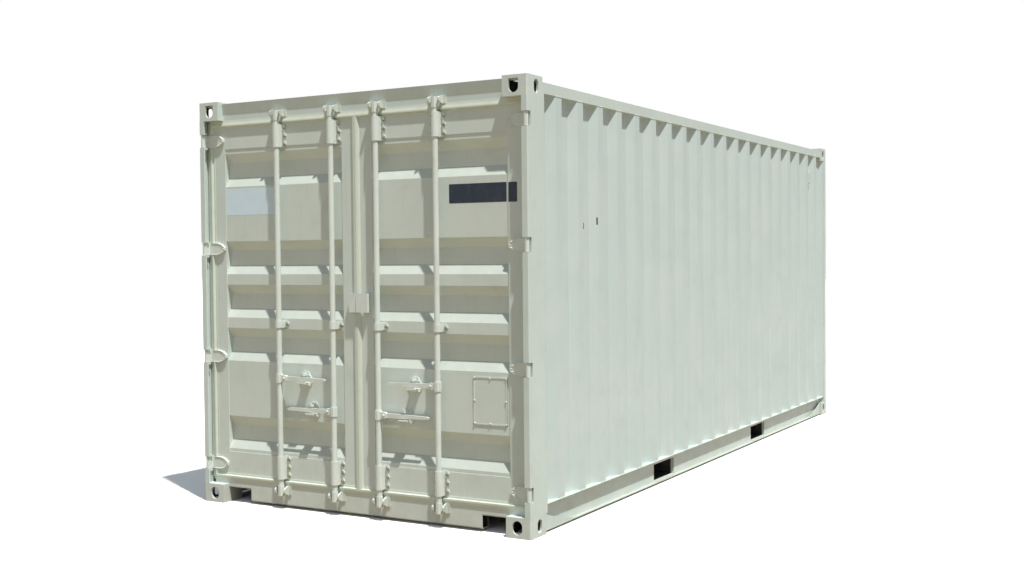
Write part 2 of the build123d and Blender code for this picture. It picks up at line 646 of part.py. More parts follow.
def fork_pockets():
    """The plates of the two tunnels for lifting forks, with straps under their mouths."""
    plates = []
    y, low, strap = Y_WEB, RAIL_BOTTOM, POCKET_BOTTOM
    for centre in (-POCKET_OFFSET, POCKET_OFFSET):
        x0, x1 = centre - POCKET_WIDTH / 2, centre + POCKET_WIDTH / 2
        plates.append(block(x0 - POCKET_WALL, x0, -y, y, low, FLOOR_BOTTOM))
        plates.append(block(x1, x1 + POCKET_WALL, -y, y, low, FLOOR_BOTTOM))
        plates.append(block(x0, x1, -y, y, POCKET_TOP, FLOOR_BOTTOM))
        plates.append(block(x0, x1, y - POCKET_STRAP, y, low, strap))
        plates.append(block(x0, x1, -y, POCKET_STRAP - y, low, strap))
    return plates


def door_frame():
    """The hollow frame of the left leaf: two stiles and two rails."""
    x0, x1 = X_LEAF, X_LEAF_BACK
    inner_y = Y_LEAF_IN + CENTRE_STILE
    outer_y = Y_LEAF_OUT - HINGE_STILE
    low, high = DOOR_BOTTOM + DOOR_RAIL, DOOR_TOP - DOOR_RAIL
    frame = block(x0, x1, Y_LEAF_IN, Y_LEAF_OUT, DOOR_BOTTOM, DOOR_TOP)
    frame -= block(x0, x1, inner_y, outer_y, low, high)
    wall = DOOR_WALL
    foot, head = DOOR_BOTTOM + wall, DOOR_TOP - wall
    frame -= block(x0 + wall, x1 - wall, Y_LEAF_IN + wall, inner_y - wall, foot, head)
    frame -= block(x0 + wall, x1 - wall, outer_y + wall, Y_LEAF_OUT - wall, foot, head)
    frame -= block(x0 + wall, x1 - wall, inner_y, outer_y, foot, low - wall)
    frame -= block(x0 + wall, x1 - wall, inner_y, outer_y, high + wall, head)
    return frame


def door_panel():
    """The sheet of the left leaf, with its level recesses."""
    x_flat = X_PANEL
    half = PANEL_FLAT / 2 + PANEL_SLOPE
    line = [(x_flat, DOOR_BOTTOM + DOOR_RAIL)]
    for level in PANEL_LEVELS:
        line.append((x_flat, level - half))
        line.append((x_flat + PANEL_RECESS, level - PANEL_FLAT / 2))
        line.append((x_flat + PANEL_RECESS, level + PANEL_FLAT / 2))
        line.append((x_flat, level + half))
    line.append((x_flat, DOOR_TOP - DOOR_RAIL))
    return side_prism(sheet_outline(line, -SHEET), Y_LEAF_IN + CENTRE_STILE, Y_LEAF_OUT - HINGE_STILE)


def hinge_blade(level):
    """One hinge strap of the left leaf: an eye with its pin, an arm back to the leaf, a pointed blade."""
    half = HINGE_HEIGHT / 2
    z0, z1 = level - half, level + half
    y_out = Y_PIN + HINGE_ARM_OUT
    tip = Y_LEAF_OUT - HINGE_REACH
    section = Pos(X_PIN, Y_PIN, z0) * RegularPolygon(HINGE_EYE, HINGE_FACETS, major_radius=False)
    eye = extrude(section, amount=HINGE_HEIGHT)
    arm = block(X_PIN, X_LEAF, Y_PIN - HINGE_ARM_IN, y_out, z0, z1)
    taper, shoulder = tip + HINGE_TAPER, tip + HINGE_SHOULDER
    points = [(y_out, z0), (y_out, z1), (taper, z1), (shoulder, level + HINGE_SHOULDER_HALF),
              (tip, level + HINGE_NOSE_HALF), (tip, level - HINGE_NOSE_HALF),
              (shoulder, level - HINGE_SHOULDER_HALF), (taper, z0)]
    blade = end_prism(points, X_LEAF - HINGE_PLATE, X_LEAF)
    return eye + arm + blade


def door_gasket(centre):
    """The rubber round the left leaf: a raised lip with sloping sides, centre wide at the meeting edge, and
    a seal on the leaf's edge."""
    x0, x1 = X_LEAF - LIP_THICK, X_LEAF
    y_edge = Y_LEAF_OUT + LIP_REACH
    y_gap = LIP_CENTRE_GAP
    low, high = SILL_TOP + LIP_CLEAR, HEADER_BOTTOM - LIP_CLEAR
    ring = block(x0, x1, -centre, y_edge, low, high)
    ring -= block(x0, x1, y_gap + centre, y_edge - LIP_EDGE_WIDTH,
                  low + LIP_FOOT_WIDTH, high - LIP_HEAD_WIDTH)
    ring = chamfer(ring.faces().sort_by(Axis.X)[0].edges(), LIP_ROUND)
    ring -= block(x0, x1, -centre, y_gap, low, high)
    seal = block(X_LEAF, X_LEAF + SEAL_DEPTH, Y_LEAF_IN - SEAL_THICK, Y_LEAF_OUT + SEAL_THICK,
                 DOOR_BOTTOM - SEAL_THICK, DOOR_TOP + SEAL_THICK)
    seal -= block(X_LEAF, X_LEAF + SEAL_DEPTH, Y_LEAF_IN, Y_LEAF_OUT, DOOR_BOTTOM, DOOR_TOP)
    ring += seal
    reach = HINGE_HEIGHT / 2
    for level in HINGE_LEVELS:
        ring -= block(x0, x1, Y_LEAF_OUT - HINGE_REACH, y_edge, level - reach, level + reach)
    return ring


def bar_bearing(y, z0, z1, x_base, lobes):
    """A forged bearing over one bar: round in front, its channel open to the leaf, lobes on its flanges."""
    inner = BAR_RADIUS + BRACKET_FIT
    x_open = x_base - BRACKET_PLATE
    outline = [(x_base, y - BRACKET_RADIUS), (x_base, y + BRACKET_RADIUS)]
    for step in range(BRACKET_FACETS + 1):
        turn = radians(90 - 180 * step / BRACKET_FACETS)
        outline.append((X_BAR - BRACKET_RADIUS * cos(turn), y + BRACKET_RADIUS * sin(turn)))
    housing = plan_prism(outline, z0, z1)
    middle = (z0 + z1) / 2
    foot = block(x_open, x_base, y - BRACKET_WAIST, y + BRACKET_WAIST, z0, z1)
    for step in lobes:
        level = middle + step * BRACKET_PITCH
        wide, tall = BRACKET_LOBE, BRACKET_LOBE_HALF
        slope = BRACKET_LOBE - BRACKET_WAIST
        points = [(y - wide, level - tall + slope), (y - wide, level + tall - slope),
                  (y - BRACKET_WAIST, level + tall), (y + BRACKET_WAIST, level + tall),
                  (y + wide, level + tall - slope), (y + wide, level - tall + slope),
                  (y + BRACKET_WAIST, level - tall), (y - BRACKET_WAIST, level - tall)]
        foot += end_prism(points, x_open, x_base)
    channel = [(x_open, y - inner), (X_BAR - inner / 2, y - inner), (X_BAR - inner, y - inner / 2),
               (X_BAR - inner, y + inner / 2), (X_BAR - inner / 2, y + inner), (x_open, y + inner)]
    return housing + foot - plan_prism(channel, z0, z1)


def bar_brackets(offsets):
    """The bearings of two bars on one leaf."""
    shapes = []
    top, low = DOOR_TOP - BRACKET_HEAD_GAP, DOOR_BOTTOM + BRACKET_FOOT_GAP
    guide_low, guide_top = GUIDE_LEVEL - GUIDE_HEIGHT / 2, GUIDE_LEVEL + GUIDE_HEIGHT / 2
    for y in offsets:
        shapes.append(bar_bearing(y, top - BRACKET_HEIGHT, top, X_LEAF, (-1, 0, 1)))
        shapes.append(bar_bearing(y, low, low + BRACKET_HEIGHT, X_LEAF, (-1, 0, 1)))
        shapes.append(bar_bearing(y, guide_low, guide_top, X_PANEL, (0,)))
    return shapes


def is_outer(y):
    """Whether a bar is the outer one of its leaf."""
    return abs(y) == max(abs(offset) for offset in BAR_OFFSETS)


def lever_way(y):
    """The direction along Y in which the lever of a bar lies when it is locked."""
    away = 1 if y > 0 else -1
    return -away if is_outer(y) else away


def cam(y, z0):
    """One forged end fitting of a bar: an eight-sided collar with two blunt lugs."""
    collar = Pos(X_BAR, y, z0) * RegularPolygon(CAM_COLLAR, 8, major_radius=False, rotation=22.5)
    fitting = extrude(collar, amount=CAM_HEIGHT)
    tall = CAM_FACE / 2
    level = z0 + CAM_HEIGHT / 2
    half = CAM_THICK / 2
    points = [(X_BAR - half, y), (X_BAR - CAM_TIP / 2, y - CAM_REACH), (X_BAR + CAM_TIP / 2, y - CAM_REACH),
              (X_BAR + half, y), (X_BAR + CAM_TIP / 2, y + CAM_REACH), (X_BAR - CAM_TIP / 2, y + CAM_REACH)]
    return fitting + plan_prism(points, level - tall, level + tall)


def lever(y, level):
    """The lever of one bar, narrowing to its tip, with the pair of ears that holds it to the hub."""
    way = lever_way(y)
    root, neck, tip = HANDLE_ROOT / 2, HANDLE_NECK / 2, HANDLE_TIP / 2
    end = y + way * HANDLE_LENGTH
    points = [(y, level - root), (y, level + root), (y + way * HANDLE_NECK_AT, level + neck),
              (end - way * HANDLE_TIP, level + tip), (end, level + tip / 2), (end, level - tip / 2),
              (end - way * HANDLE_TIP, level - tip), (y + way * HANDLE_NECK_AT, level - neck)]
    blade = end_prism(points, X_BAR - HANDLE_THICK / 2, X_BAR + HANDLE_THICK / 2)
    tall, blunt = EAR_HEIGHT / 2, EAR_TIP / 2
    ear_end = y + way * EAR_REACH
    ears = [(y, level - tall), (y, level + tall), (ear_end - way * blunt, level + tall),
            (ear_end, level + blunt), (ear_end, level - blunt), (ear_end - way * blunt, level - tall)]
    thick = HANDLE_THICK / 2 + EAR_PLATE
    return blade + end_prism(ears, X_BAR - thick, X_BAR + thick)


def handle_level(y):
    """The height at which the lever of a bar lies."""
    return DOOR_BOTTOM + (HANDLE_HIGH if is_outer(y) else HANDLE_LOW)


def locking_bar(y):
    """The pieces of one bar, end to end: lower fitting, tube, hub with its lever, tube, upper fitting."""
    level = handle_level(y)
    hub_low, hub_high = level - HUB_HEIGHT / 2, level + HUB_HEIGHT / 2
    section = Pos(X_BAR, y, hub_low) * RegularPolygon(HUB_RADIUS, 8, major_radius=False, rotation=22.5)
    hub = extrude(section, amount=HUB_HEIGHT)
    return [cam(y, BAR_BOTTOM), rod(X_BAR, y, BAR_BOTTOM + CAM_HEIGHT, hub_low, BAR_RADIUS),
            hub + lever(y, level), rod(X_BAR, y, hub_high, BAR_TOP - CAM_HEIGHT, BAR_RADIUS),
            cam(y, BAR_TOP - CAM_HEIGHT)]


def handle_catch(y):
    """The catch of one lever: a back plate, a shelf under the lever and a hook over it, open in front."""
    level = handle_level(y)
    centre = y + lever_way(y) * CATCH_DISTANCE
    x_back = X_PANEL
    x_plate = x_back - CATCH_PLATE
    under = level - HANDLE_ROOT / 2 - CATCH_CLEAR
    over = level + HANDLE_ROOT / 2 + CATCH_CLEAR
    wide, narrow = CATCH_WIDTH / 2, SHELF_WIDTH / 2
    outline = [(centre - narrow, level - CATCH_DROP), (centre + narrow, level - CATCH_DROP),
               (centre + wide, under), (centre + wide, level), (centre + HOOK_WIDTH, over + CATCH_RISE),
               (centre - HOOK_WIDTH, over + CATCH_RISE), (centre - wide, level), (centre - wide, under)]
    plate = end_prism(outline, x_plate, x_back)
    x_front = X_DOOR + SHELF_DEPTH
    shelf = [(x_plate, under), (x_front, under), (x_front, under - CATCH_PLATE),
             (x_plate, level - CATCH_DROP)]
    plate += side_prism(shelf, centre - narrow, centre + narrow)
    x_hook = X_DOOR + HOOK_DEPTH
    hook = [(x_plate, over), (x_hook + CATCH_PLATE, over), (x_hook, over + CATCH_PLATE),
            (x_hook, level + HOOK_RISE), (x_hook + 2 * CATCH_PLATE, level + HOOK_RISE),
            (x_hook + 3 * CATCH_PLATE, over + 2 * CATCH_PLATE), (x_plate, over + 2 * CATCH_PLATE)]
    return plate + side_prism(hook, centre - HOOK_WIDTH / 2, centre + HOOK_WIDTH / 2)


def joint_guard(side):
    """The half of the centre guard on one leaf; side is 1 for the left leaf."""
    x0 = X_DOOR + GUARD_DEPTH
    width = GUARD_LEFT if side > 0 else GUARD_RIGHT
    y0, y1 = side * LIP_CENTRE_GAP, side * width
    low, high = DOOR_MIDDLE - GUARD_HEIGHT / 2, DOOR_MIDDLE + GUARD_HEIGHT / 2
    shape = block(x0, x0 + GUARD_PLATE, y0, y1, low, high)
    return shape + block(x0, X_LEAF, y1, y1 - side * GUARD_PLATE, low, high)


def keeper_horn(y, z0, z1, side):
    """One horn beside a cam: an ear that narrows to its tip, on a foot turned away from the cam."""
    x_face = X_FRAME_FACE
    level = (z0 + z1) / 2
    base, tip = (z1 - z0) / 2, KEEPER_TIP / 2
    x_tip = X_DOOR + KEEPER_DEPTH
    ear = [(x_face, level - base), (x_face - KEEPER_SHOULDER, level - base), (x_tip + tip / 2, level - tip),
           (x_tip, level - tip / 2), (x_tip, level + tip / 2), (x_tip + tip / 2, level + tip),
           (x_face - KEEPER_SHOULDER, level + base), (x_face, level + base)]
    y0, y1 = y + side * KEEPER_GAP, y + side * (KEEPER_GAP + KEEPER_HORN)
    horn = side_prism(ear, min(y0, y1), max(y0, y1))
    y_foot = y1 + side * KEEPER_FOOT
    return horn + block(x_face - KEEPER_PLATE, x_face, y0, y_foot, level - base, level + base)


def cam_keepers():
    """The horns on the header and the sill between which the cams lie."""
    middle = BAR_BOTTOM + CAM_HEIGHT / 2
    shapes = []
    for y in BAR_OFFSETS:
        for side in (-1, 1):
            shapes.append(keeper_horn(y, middle - KEEPER_BASE / 2, middle + KEEPER_BASE / 2, side))
            shapes.append(keeper_horn(y, HEADER_BOTTOM, HEADER_BEND, side))
    return shapes


def side_vent():
    """A small covered vent high on the side at +Y, its cover tapering outwards."""
    x = side_centres()[-VENT_HOLLOW]
    middle = Plane.XZ.offset(SIDE_RECESS - Y_SKIN) * Pos(x, VENT_LEVEL)
    foot = middle * Rectangle(VENT_WIDTH, VENT_HEIGHT)
    narrow, short = VENT_WIDTH - 2 * VENT_SLOPE, VENT_HEIGHT - 2 * VENT_SLOPE
    crown = middle * Pos(0, 0, -VENT_THICK) * Rectangle(narrow, short)
    return loft([foot, crown])


def main():
    """Build every node and write it."""
    os.makedirs("parts", exist_ok=True)

    low = lower_casting()
    high = upper_casting()
    save("castings_front_bottom", *both_sides(low))
    save("castings_rear_bottom", *both_sides(mirror(low, Plane.YZ)))
    save("castings_front_top", *both_sides(high))
    save("castings_rear_top", *both_sides(mirror(high, Plane.YZ)))

    post = rear_post()
    save("rear_post_left", post)
    save("rear_post_right", mirror(post, Plane.XZ))
    post = front_post()
    save("front_post_left", post)
    save("front_post_right", mirror(post, Plane.XZ))

    save("door_header", *door_header())
    save("door_sill", door_sill())
    save("cam_keepers", *cam_keepers())

    plates = bottom_side_rail()
    save("bottom_side_rail_left", *plates)
    save("bottom_side_rail_right", *[mirror(plate, Plane.XZ) for plate in plates])
    gussets = rail_gussets()
    save("rail_gussets", *gussets, *[mirror(plate, Plane.XZ) for plate in gussets])
    rail = top_side_rail()
    save("top_side_rail_left", rail)
    save("top_side_rail_right", mirror(rail, Plane.XZ))

    wall = side_wall()
    save("side_wall_left", wall)
    save("side_wall_right", mirror(wall, Plane.XZ))
    save("side_vents", *both_sides(side_vent()))
    save("front_wall", front_wall())
    save("front_bottom_rail", front_bottom_rail())
    save("front_top_rail", front_top_rail())
    save("roof", roof())
    save("floor", floor())
    save("cross_members", *cross_members())
    save("fork_pockets", *fork_pockets())

    frame = door_frame()
    save("left_door_frame", frame)
    save("right_door_frame", mirror(frame, Plane.XZ))
    panel = door_panel()
    save("left_door_panel", panel)
    save("right_door_panel", mirror(panel, Plane.XZ))
    save("left_door_gasket", door_gasket(LIP_CENTRE_LEFT))
    save("right_door_gasket", mirror(door_gasket(LIP_CENTRE_RIGHT), Plane.XZ))
    blades = [hinge_blade(level) for level in HINGE_LEVELS]
    save("left_hinge_blades", *blades)
    save("right_hinge_blades", *[mirror(blade, Plane.XZ) for blade in blades])

    left = [y for y in BAR_OFFSETS if y > 0]
    right = [y for y in BAR_OFFSETS if y < 0]
    save("left_bar_brackets", *bar_brackets(left))
    save("right_bar_brackets", *bar_brackets(right))
    save("left_handle_catches", *[handle_catch(y) for y in left])
    save("right_handle_catches", *[handle_catch(y) for y in right])
    save("left_joint_guard", joint_guard(1))
    save("right_joint_guard", joint_guard(-1))

    for index, y in enumerate(BAR_OFFSETS, 1):
        save(f"bar_{index}", *locking_bar(y))


main()
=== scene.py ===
"""Looks of a twenty-foot dry freight container: enamelled steel, rubber lips, bolts, welds and blank plates."""

import logging
import math
from dataclasses import dataclass, field
from enum import Enum
from typing import Iterable, Sequence

import bmesh
import bpy
from mathutils import Matrix, Vector

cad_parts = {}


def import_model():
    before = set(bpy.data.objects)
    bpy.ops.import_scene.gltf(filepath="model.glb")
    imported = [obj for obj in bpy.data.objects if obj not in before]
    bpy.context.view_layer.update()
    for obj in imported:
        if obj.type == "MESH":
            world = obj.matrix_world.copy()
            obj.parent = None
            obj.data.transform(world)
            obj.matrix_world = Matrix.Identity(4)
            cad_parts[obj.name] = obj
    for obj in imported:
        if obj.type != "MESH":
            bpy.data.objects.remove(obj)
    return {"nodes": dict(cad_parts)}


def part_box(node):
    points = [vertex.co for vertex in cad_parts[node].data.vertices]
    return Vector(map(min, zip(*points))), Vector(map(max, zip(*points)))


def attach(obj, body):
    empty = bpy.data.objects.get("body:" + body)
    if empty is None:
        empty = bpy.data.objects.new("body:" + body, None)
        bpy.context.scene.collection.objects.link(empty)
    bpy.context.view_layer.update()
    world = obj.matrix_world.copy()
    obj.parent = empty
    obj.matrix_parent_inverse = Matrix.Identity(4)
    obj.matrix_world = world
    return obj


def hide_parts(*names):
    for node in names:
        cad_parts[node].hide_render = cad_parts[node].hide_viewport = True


LOG = logging.getLogger("container")
MM = 0.001
FRAME_WIDTH_PX = 1024
LENGTH, HEIGHT = 6058.0, 2591.0
DOOR_END = -LENGTH / 2
# How far behind the door end the doors' frames and sheets lie, and the heights of the hinges.
LEAF_DEPTH, SHEET_DEPTH = 62.0, 66.0
HINGE_LEVELS = (248.0, 947.0, 1646.0, 2345.0)
Pair = tuple[float, float]
Point = tuple[float, float, float]
Box = tuple[float, float, float, float]
Turn = tuple[float, float, float, float, float]
Material = bpy.types.Material
Mesh = bmesh.types.BMesh
Thing = bpy.types.Object
Socket = bpy.types.NodeSocket
Tree = bpy.types.NodeTree
Colour = tuple[float, float, float, float]


class Axis(Enum):
    """The direction in which a small turned part points."""

    DOORWARD = Vector((-1.0, 0.0, 0.0))
    UPWARD = Vector((0.0, 0.0, 1.0))


class Run(Enum):
    """The way in which streaks of dirt or grain lie on a surface."""

    DOWN = (1.0, 1.0, 0.08)
    ALONG = (0.08, 1.0, 1.0)
    EVEN = (1.0, 1.0, 1.0)


class Leaf(Enum):
    """One of the two door leaves, with the sign of its side."""

    LEFT = 1
    RIGHT = -1

    @property
    def side(self) -> str:
        """The leaf's side as it stands in the parts' names."""
        return self.name.lower()

    @property
    def body(self) -> str:
        """The body that carries the leaf."""
        return f"{self.side}_door"

    def point(self, depth: float, y: float, z: float) -> Point:
        """A point on this leaf, by its depth behind the door end, in millimetres."""
        return (DOOR_END + depth, self.value * y, z)


def linear(hex_colour: str) -> Colour:
    """Turn an sRGB hex colour into Blender's linear colour.

    Args:
        hex_colour: Six hex digits, such as "d9d3c0".

    Returns:
        Linear red, green, blue and an alpha of one.
    """
    parts = [int(hex_colour[i:i + 2], 16) / 255 for i in (0, 2, 4)]
    turned = [c / 12.92 if c <= 0.04045 else ((c + 0.055) / 1.055) ** 2.4 for c in parts]
    return (turned[0], turned[1], turned[2], 1.0)


def add_node(tree: Tree, kind: str, inputs: dict | None = None, **settings) -> bpy.types.Node:
    """Add one shader node with its settings, its socket values and its links.

    Args:
        tree: The node tree that receives the node.
        kind: The node's type name, such as "ShaderNodeMath".
        inputs: Socket name or number to a value, or to another node's output socket.
        **settings: Attributes of the node itself.

    Returns:
        The new node.
    """
    node = tree.nodes.new(kind)
    for name, value in settings.items():
        setattr(node, name, value)
    for key, value in (inputs or {}).items():
        if isinstance(value, bpy.types.NodeSocket):
            tree.links.new(value, node.inputs[key])
        else:
            node.inputs[key].default_value = value
    return node


def new_tree(name: str) -> tuple[Material, Tree]:
    """Make an empty node material.

    Args:
        name: The material's name.

    Returns:
        The material and its node tree.
    """
    material = bpy.data.materials.new(name)
    material.use_nodes = True
    material.node_tree.nodes.clear()
    return material, material.node_tree


def shade(tree: Tree, colour: Socket, rough: Socket | float, normal: Socket, ior: float = 1.5) -> None:
    """Send a finish through one shader to the material's output.

    Args:
        tree: The node tree.
        colour: Its colour.
        rough: Its roughness.
        normal: Its normal.
        ior: Its index of refraction.
    """
    shader = add_node(tree, "ShaderNodeBsdfPrincipled",
                      {"Base Color": colour, "Roughness": rough, "Normal": normal, "IOR": ior})
    add_node(tree, "ShaderNodeOutputMaterial", {"Surface": shader.outputs[0]})


def object_point(tree: Tree) -> Socket:
    """The socket of the plain object coordinates, in metres."""
    return add_node(tree, "ShaderNodeTexCoord").outputs["Object"]


def part_of(tree: Tree, vector: Socket, axis: str) -> Socket:
    """The socket of one coordinate of a vector."""
    return add_node(tree, "ShaderNodeSeparateXYZ", {0: vector}).outputs[axis]


def ramp(tree: Tree, source: Socket, low: float, high: float) -> Socket:
    """Stretch the part of a pattern between two levels so that it runs from 0 to 1."""
    node = add_node(tree, "ShaderNodeMapRange",
                    {"Value": source, "From Min": low, "From Max": high}, interpolation_type="SMOOTHSTEP")
    return node.outputs["Result"]


def tint(tree: Tree, amount: Socket, below: Socket | Colour, above: Socket | Colour) -> Socket:
    """Lay the colour above over the one below, by an amount from 0 to 1."""
    node = add_node(tree, "ShaderNodeMix", {0: amount, 6: below, 7: above}, data_type="RGBA")
    return node.outputs[2]


def times(tree: Tree, first: Socket, second: Socket | float, operation: str = "MULTIPLY") -> Socket:
    """Combine two numbers by a Math node's operation."""
    return add_node(tree, "ShaderNodeMath", {0: first, 1: second}, operation=operation).outputs[0]


def place(tree: Tree, run: Run = Run.EVEN) -> Socket:
    """Object coordinates, squeezed so that a pattern runs in one direction."""
    inputs = {"Vector": object_point(tree), "Scale": run.value}
    return add_node(tree, "ShaderNodeMapping", inputs).outputs["Vector"]


def noise(tree: Tree, where: Socket, size_mm: float, detail: float = 3.0, rough: float = 0.5) -> Socket:
    """A cloudy pattern, 0 to 1, whose patches are about one size, with some finer layers over them."""
    node = add_node(tree, "ShaderNodeTexNoise",
                    {"Vector": where, "Scale": 1.0 / (size_mm * MM), "Detail": detail, "Roughness": rough})
    return node.outputs["Fac"]


def bump(tree: Tree, height: Socket, depth_mm: float, strength: float = 1.0,
         normal: Socket | None = None) -> Socket:
    """Turn a height pattern into a normal.

    Args:
        tree: The node tree.
        height: The pattern, 0 to 1.
        depth_mm: Its depth in millimetres.
        strength: How much of it shows.
        normal: A normal to add it to.

    Returns:
        The normal's socket.
    """
    inputs: dict = {"Height": height, "Distance": depth_mm * MM, "Strength": strength}
    if normal is not None:
        inputs["Normal"] = normal
    return add_node(tree, "ShaderNodeBump", inputs).outputs["Normal"]


@dataclass(frozen=True)
class ShadedHollow:
    """A box-shaped inside of a part, repeated by mirroring, where no paint went and which is darkened with
    painted shade.
    """

    pivot_mm: Point
    middle_mm: Point
    half_mm: Point

    def inside(self, tree: Tree) -> Socket:
        """Tell the inside from the outside.

        Args:
            tree: The node tree.

        Returns:
            A socket that is 1 inside the hollow and on its walls, and 0 outside.
        """
        steps = (("SUBTRACT", self.pivot_mm), ("ABSOLUTE", None), ("SUBTRACT", self.middle_mm),
                 ("ABSOLUTE", None), ("DIVIDE", self.half_mm))
        vector = object_point(tree)
        for operation, value in steps:
            inputs = {0: vector}
            if value is not None:
                inputs[1] = Vector(value) * MM
            vector = add_node(tree, "ShaderNodeVectorMath", inputs, operation=operation).outputs[0]
        parts = add_node(tree, "ShaderNodeSeparateXYZ", {0: vector}).outputs
        most = times(tree, times(tree, parts[0], parts[1], "MAXIMUM"), parts[2], "MAXIMUM")
        return times(tree, most, 1.004, "LESS_THAN")


# The insides of the corner castings and of the door sill, painted near-black as shade.
CASTING_SHADED_HOLLOW = ShadedHollow((0.0, 0.0, HEIGHT / 2), (2940.0, 1138.0, 1229.5), (75.0, 67.0, 38.0))
SILL_SHADED_HOLLOW = ShadedHollow((0.0, 0.0, 83.5), (2940.5, 0.0, 0.0), (28.6, 1180.0, 60.6))


@dataclass(frozen=True)
class SprayedEnamel:
    """Alkyd enamel sprayed over corten steel and left in the sun: chalky, faintly streaked and dusty."""

    name: str
    base: str
    faded: str
    soiled: str = "a3987a"
    patch_mm: float = 420.0
    soil: float = 0.10
    streaks: float = 0.10
    dent_mm: float = 2.0
    dent_size_mm: float = 330.0
    roughness: float = 0.46
    low_dirt: float = 0.12
    ledge_dust_and_shade: float = 0.0
    ledge: str = "a3987a"
    run: Run = Run.DOWN
    shadedhollow: ShadedHollow | None = None

    def colour(self, tree: Tree, even: Socket, cloud: Socket) -> Socket:
        """Lay fading, streaks and dust over the paint.

        Args:
            tree: The node tree.
            even: Plain coordinates.
            cloud: The pattern of the dust.

        Returns:
            The colour's socket.
        """
        # Patches of newer and older paint, about half a metre wide.
        patches = ramp(tree, noise(tree, even, self.patch_mm, 4.0, 0.55), 0.38, 0.66)
        colour = tint(tree, patches, linear(self.base), linear(self.faded))
        # Rain streaks, 24 mm wide and a foot long, of road dust.
        streak = ramp(tree, noise(tree, place(tree, self.run), 24.0, 3.0, 0.6), 0.52, 0.80)
        colour = tint(tree, times(tree, streak, self.streaks), colour, linear(self.soiled))
        colour = tint(tree, times(tree, cloud, self.soil), colour, linear(self.soiled))
        # Dust thrown up by wheels and rain over the lowest 350 mm.
        height = part_of(tree, object_point(tree), "Z")
        low = add_node(tree, "ShaderNodeMapRange",
                       {"Value": height, "From Min": 0.35, "From Max": 0.0, "To Max": self.low_dirt}).outputs[0]
        low = times(tree, low, ramp(tree, noise(tree, even, 60.0, 4.0), 0.3, 0.7))
        colour = tint(tree, low, colour, linear(self.soiled))
        if self.ledge_dust_and_shade:
            # Grime that stays on faces that look up, slopes too, with painted shade that dims those sunlit
            # faces.
            up = part_of(tree, add_node(tree, "ShaderNodeNewGeometry").outputs["Normal"], "Z")
            patchy = ramp(tree, noise(tree, even, 90.0, 2.0), -0.1, 0.55)
            ledge = times(tree, ramp(tree, up, 0.25, 0.75), patchy)
            colour = tint(tree, times(tree, ledge, self.ledge_dust_and_shade), colour, linear(self.ledge))
        return colour

    def make(self) -> Material:
        """Build the material.

        Returns:
            The finished material.
        """
        material, tree = new_tree(self.name)
        even = place(tree)
        # Soft clouds of dust, a hand wide.
        cloud = ramp(tree, noise(tree, even, 130.0, 5.0, 0.62), 0.46, 0.78)
        colour = self.colour(tree, even, cloud)
        rough = add_node(tree, "ShaderNodeMapRange", {"Value": cloud, "To Min": self.roughness,
                                                      "To Max": self.roughness + 0.16}).outputs["Result"]
        if self.shadedhollow is not None:
            # Near-black painted shade inside the hollow, over bare mill scale and old grease where no paint
            # went.
            inside = self.shadedhollow.inside(tree)
            colour = tint(tree, inside, colour, linear("201d1b"))
            rough = times(tree, times(tree, inside, 0.3), rough, "ADD")
        # Hand-sized dents of the sheet, then the orange peel of the spray, about 3 mm from crest to crest.
        normal = bump(tree, noise(tree, even, self.dent_size_mm, 2.0, 0.5), self.dent_mm)
        normal = bump(tree, noise(tree, even, 3.0, 2.0, 0.5), 0.05, 0.5, normal)
        shade(tree, colour, rough, normal, 1.48)
        return material


@dataclass(frozen=True)
class UnderCoating:
    """Bitumen underseal brushed on the steel below the floor: nearly black, matt and dusty; in the fork pockets
    the same near-black is painted shade of the deep tunnels.
    """

    name: str = "bitumen_underseal"
    base: str = "2b2a28"
    dust: str = "5f5a50"
    painted: str | None = None
    painted_from_mm: float = 0.0

    def make(self) -> Material:
        """Build the material.

        Returns:
            The finished material.
        """
        material, tree = new_tree(self.name)
        even = place(tree)
        dust = ramp(tree, noise(tree, even, 70.0, 5.0, 0.6), 0.45, 0.75)
        colour = tint(tree, times(tree, dust, 0.45), linear(self.base), linear(self.dust))
        if self.painted is not None:
            # The enamel of the sides runs a little way into the mouths; deeper in, the near-black is painted
            # shade.
            across = times(tree, part_of(tree, object_point(tree), "Y"), 0.0, "ABSOLUTE")
            wavy = times(tree, times(tree, noise(tree, even, 60.0, 3.0), 0.02), across, "ADD")
            edge = self.painted_from_mm * MM + 0.01
            colour = tint(tree, ramp(tree, wavy, edge - 0.003, edge + 0.003), colour, linear(self.painted))
        # Brush marks about 8 mm apart.
        normal = bump(tree, noise(tree, place(tree, Run.ALONG), 8.0, 3.0), 0.6, 0.7)
        shade(tree, colour, 0.82, normal)
        return material


@dataclass(frozen=True)
class PaintedRubber:
    """EPDM door seal that the spray gun went over: soft, matt and a little uneven, its back bare and dark."""

    name: str = "oversprayed_epdm_rubber"
    paint: str = "d6dfd4"
    soiled: str = "b3ab90"
    rubber: str = "2f2e2b"
    painted_to_mm: float = DOOR_END + 63.0

    def make(self) -> Material:
        """Build the material.

        Returns:
            The finished material.
        """
        material, tree = new_tree(self.name)
        even = place(tree)
        cloud = ramp(tree, noise(tree, even, 90.0, 4.0, 0.6), 0.45, 0.8)
        colour = tint(tree, times(tree, cloud, 0.18), linear(self.paint), linear(self.soiled))
        bare = times(tree, part_of(tree, object_point(tree), "X"), self.painted_to_mm * MM, "GREATER_THAN")
        colour = tint(tree, bare, colour, linear(self.rubber))
        # Soft waves of the lip, 60 mm apart, and the grain of the rubber, 5 mm.
        normal = bump(tree, noise(tree, even, 60.0, 2.0), 0.8, 0.5)
        normal = bump(tree, noise(tree, even, 5.0, 3.0), 0.2, 0.5, normal)
        shade(tree, colour, 0.62, normal)
        return material


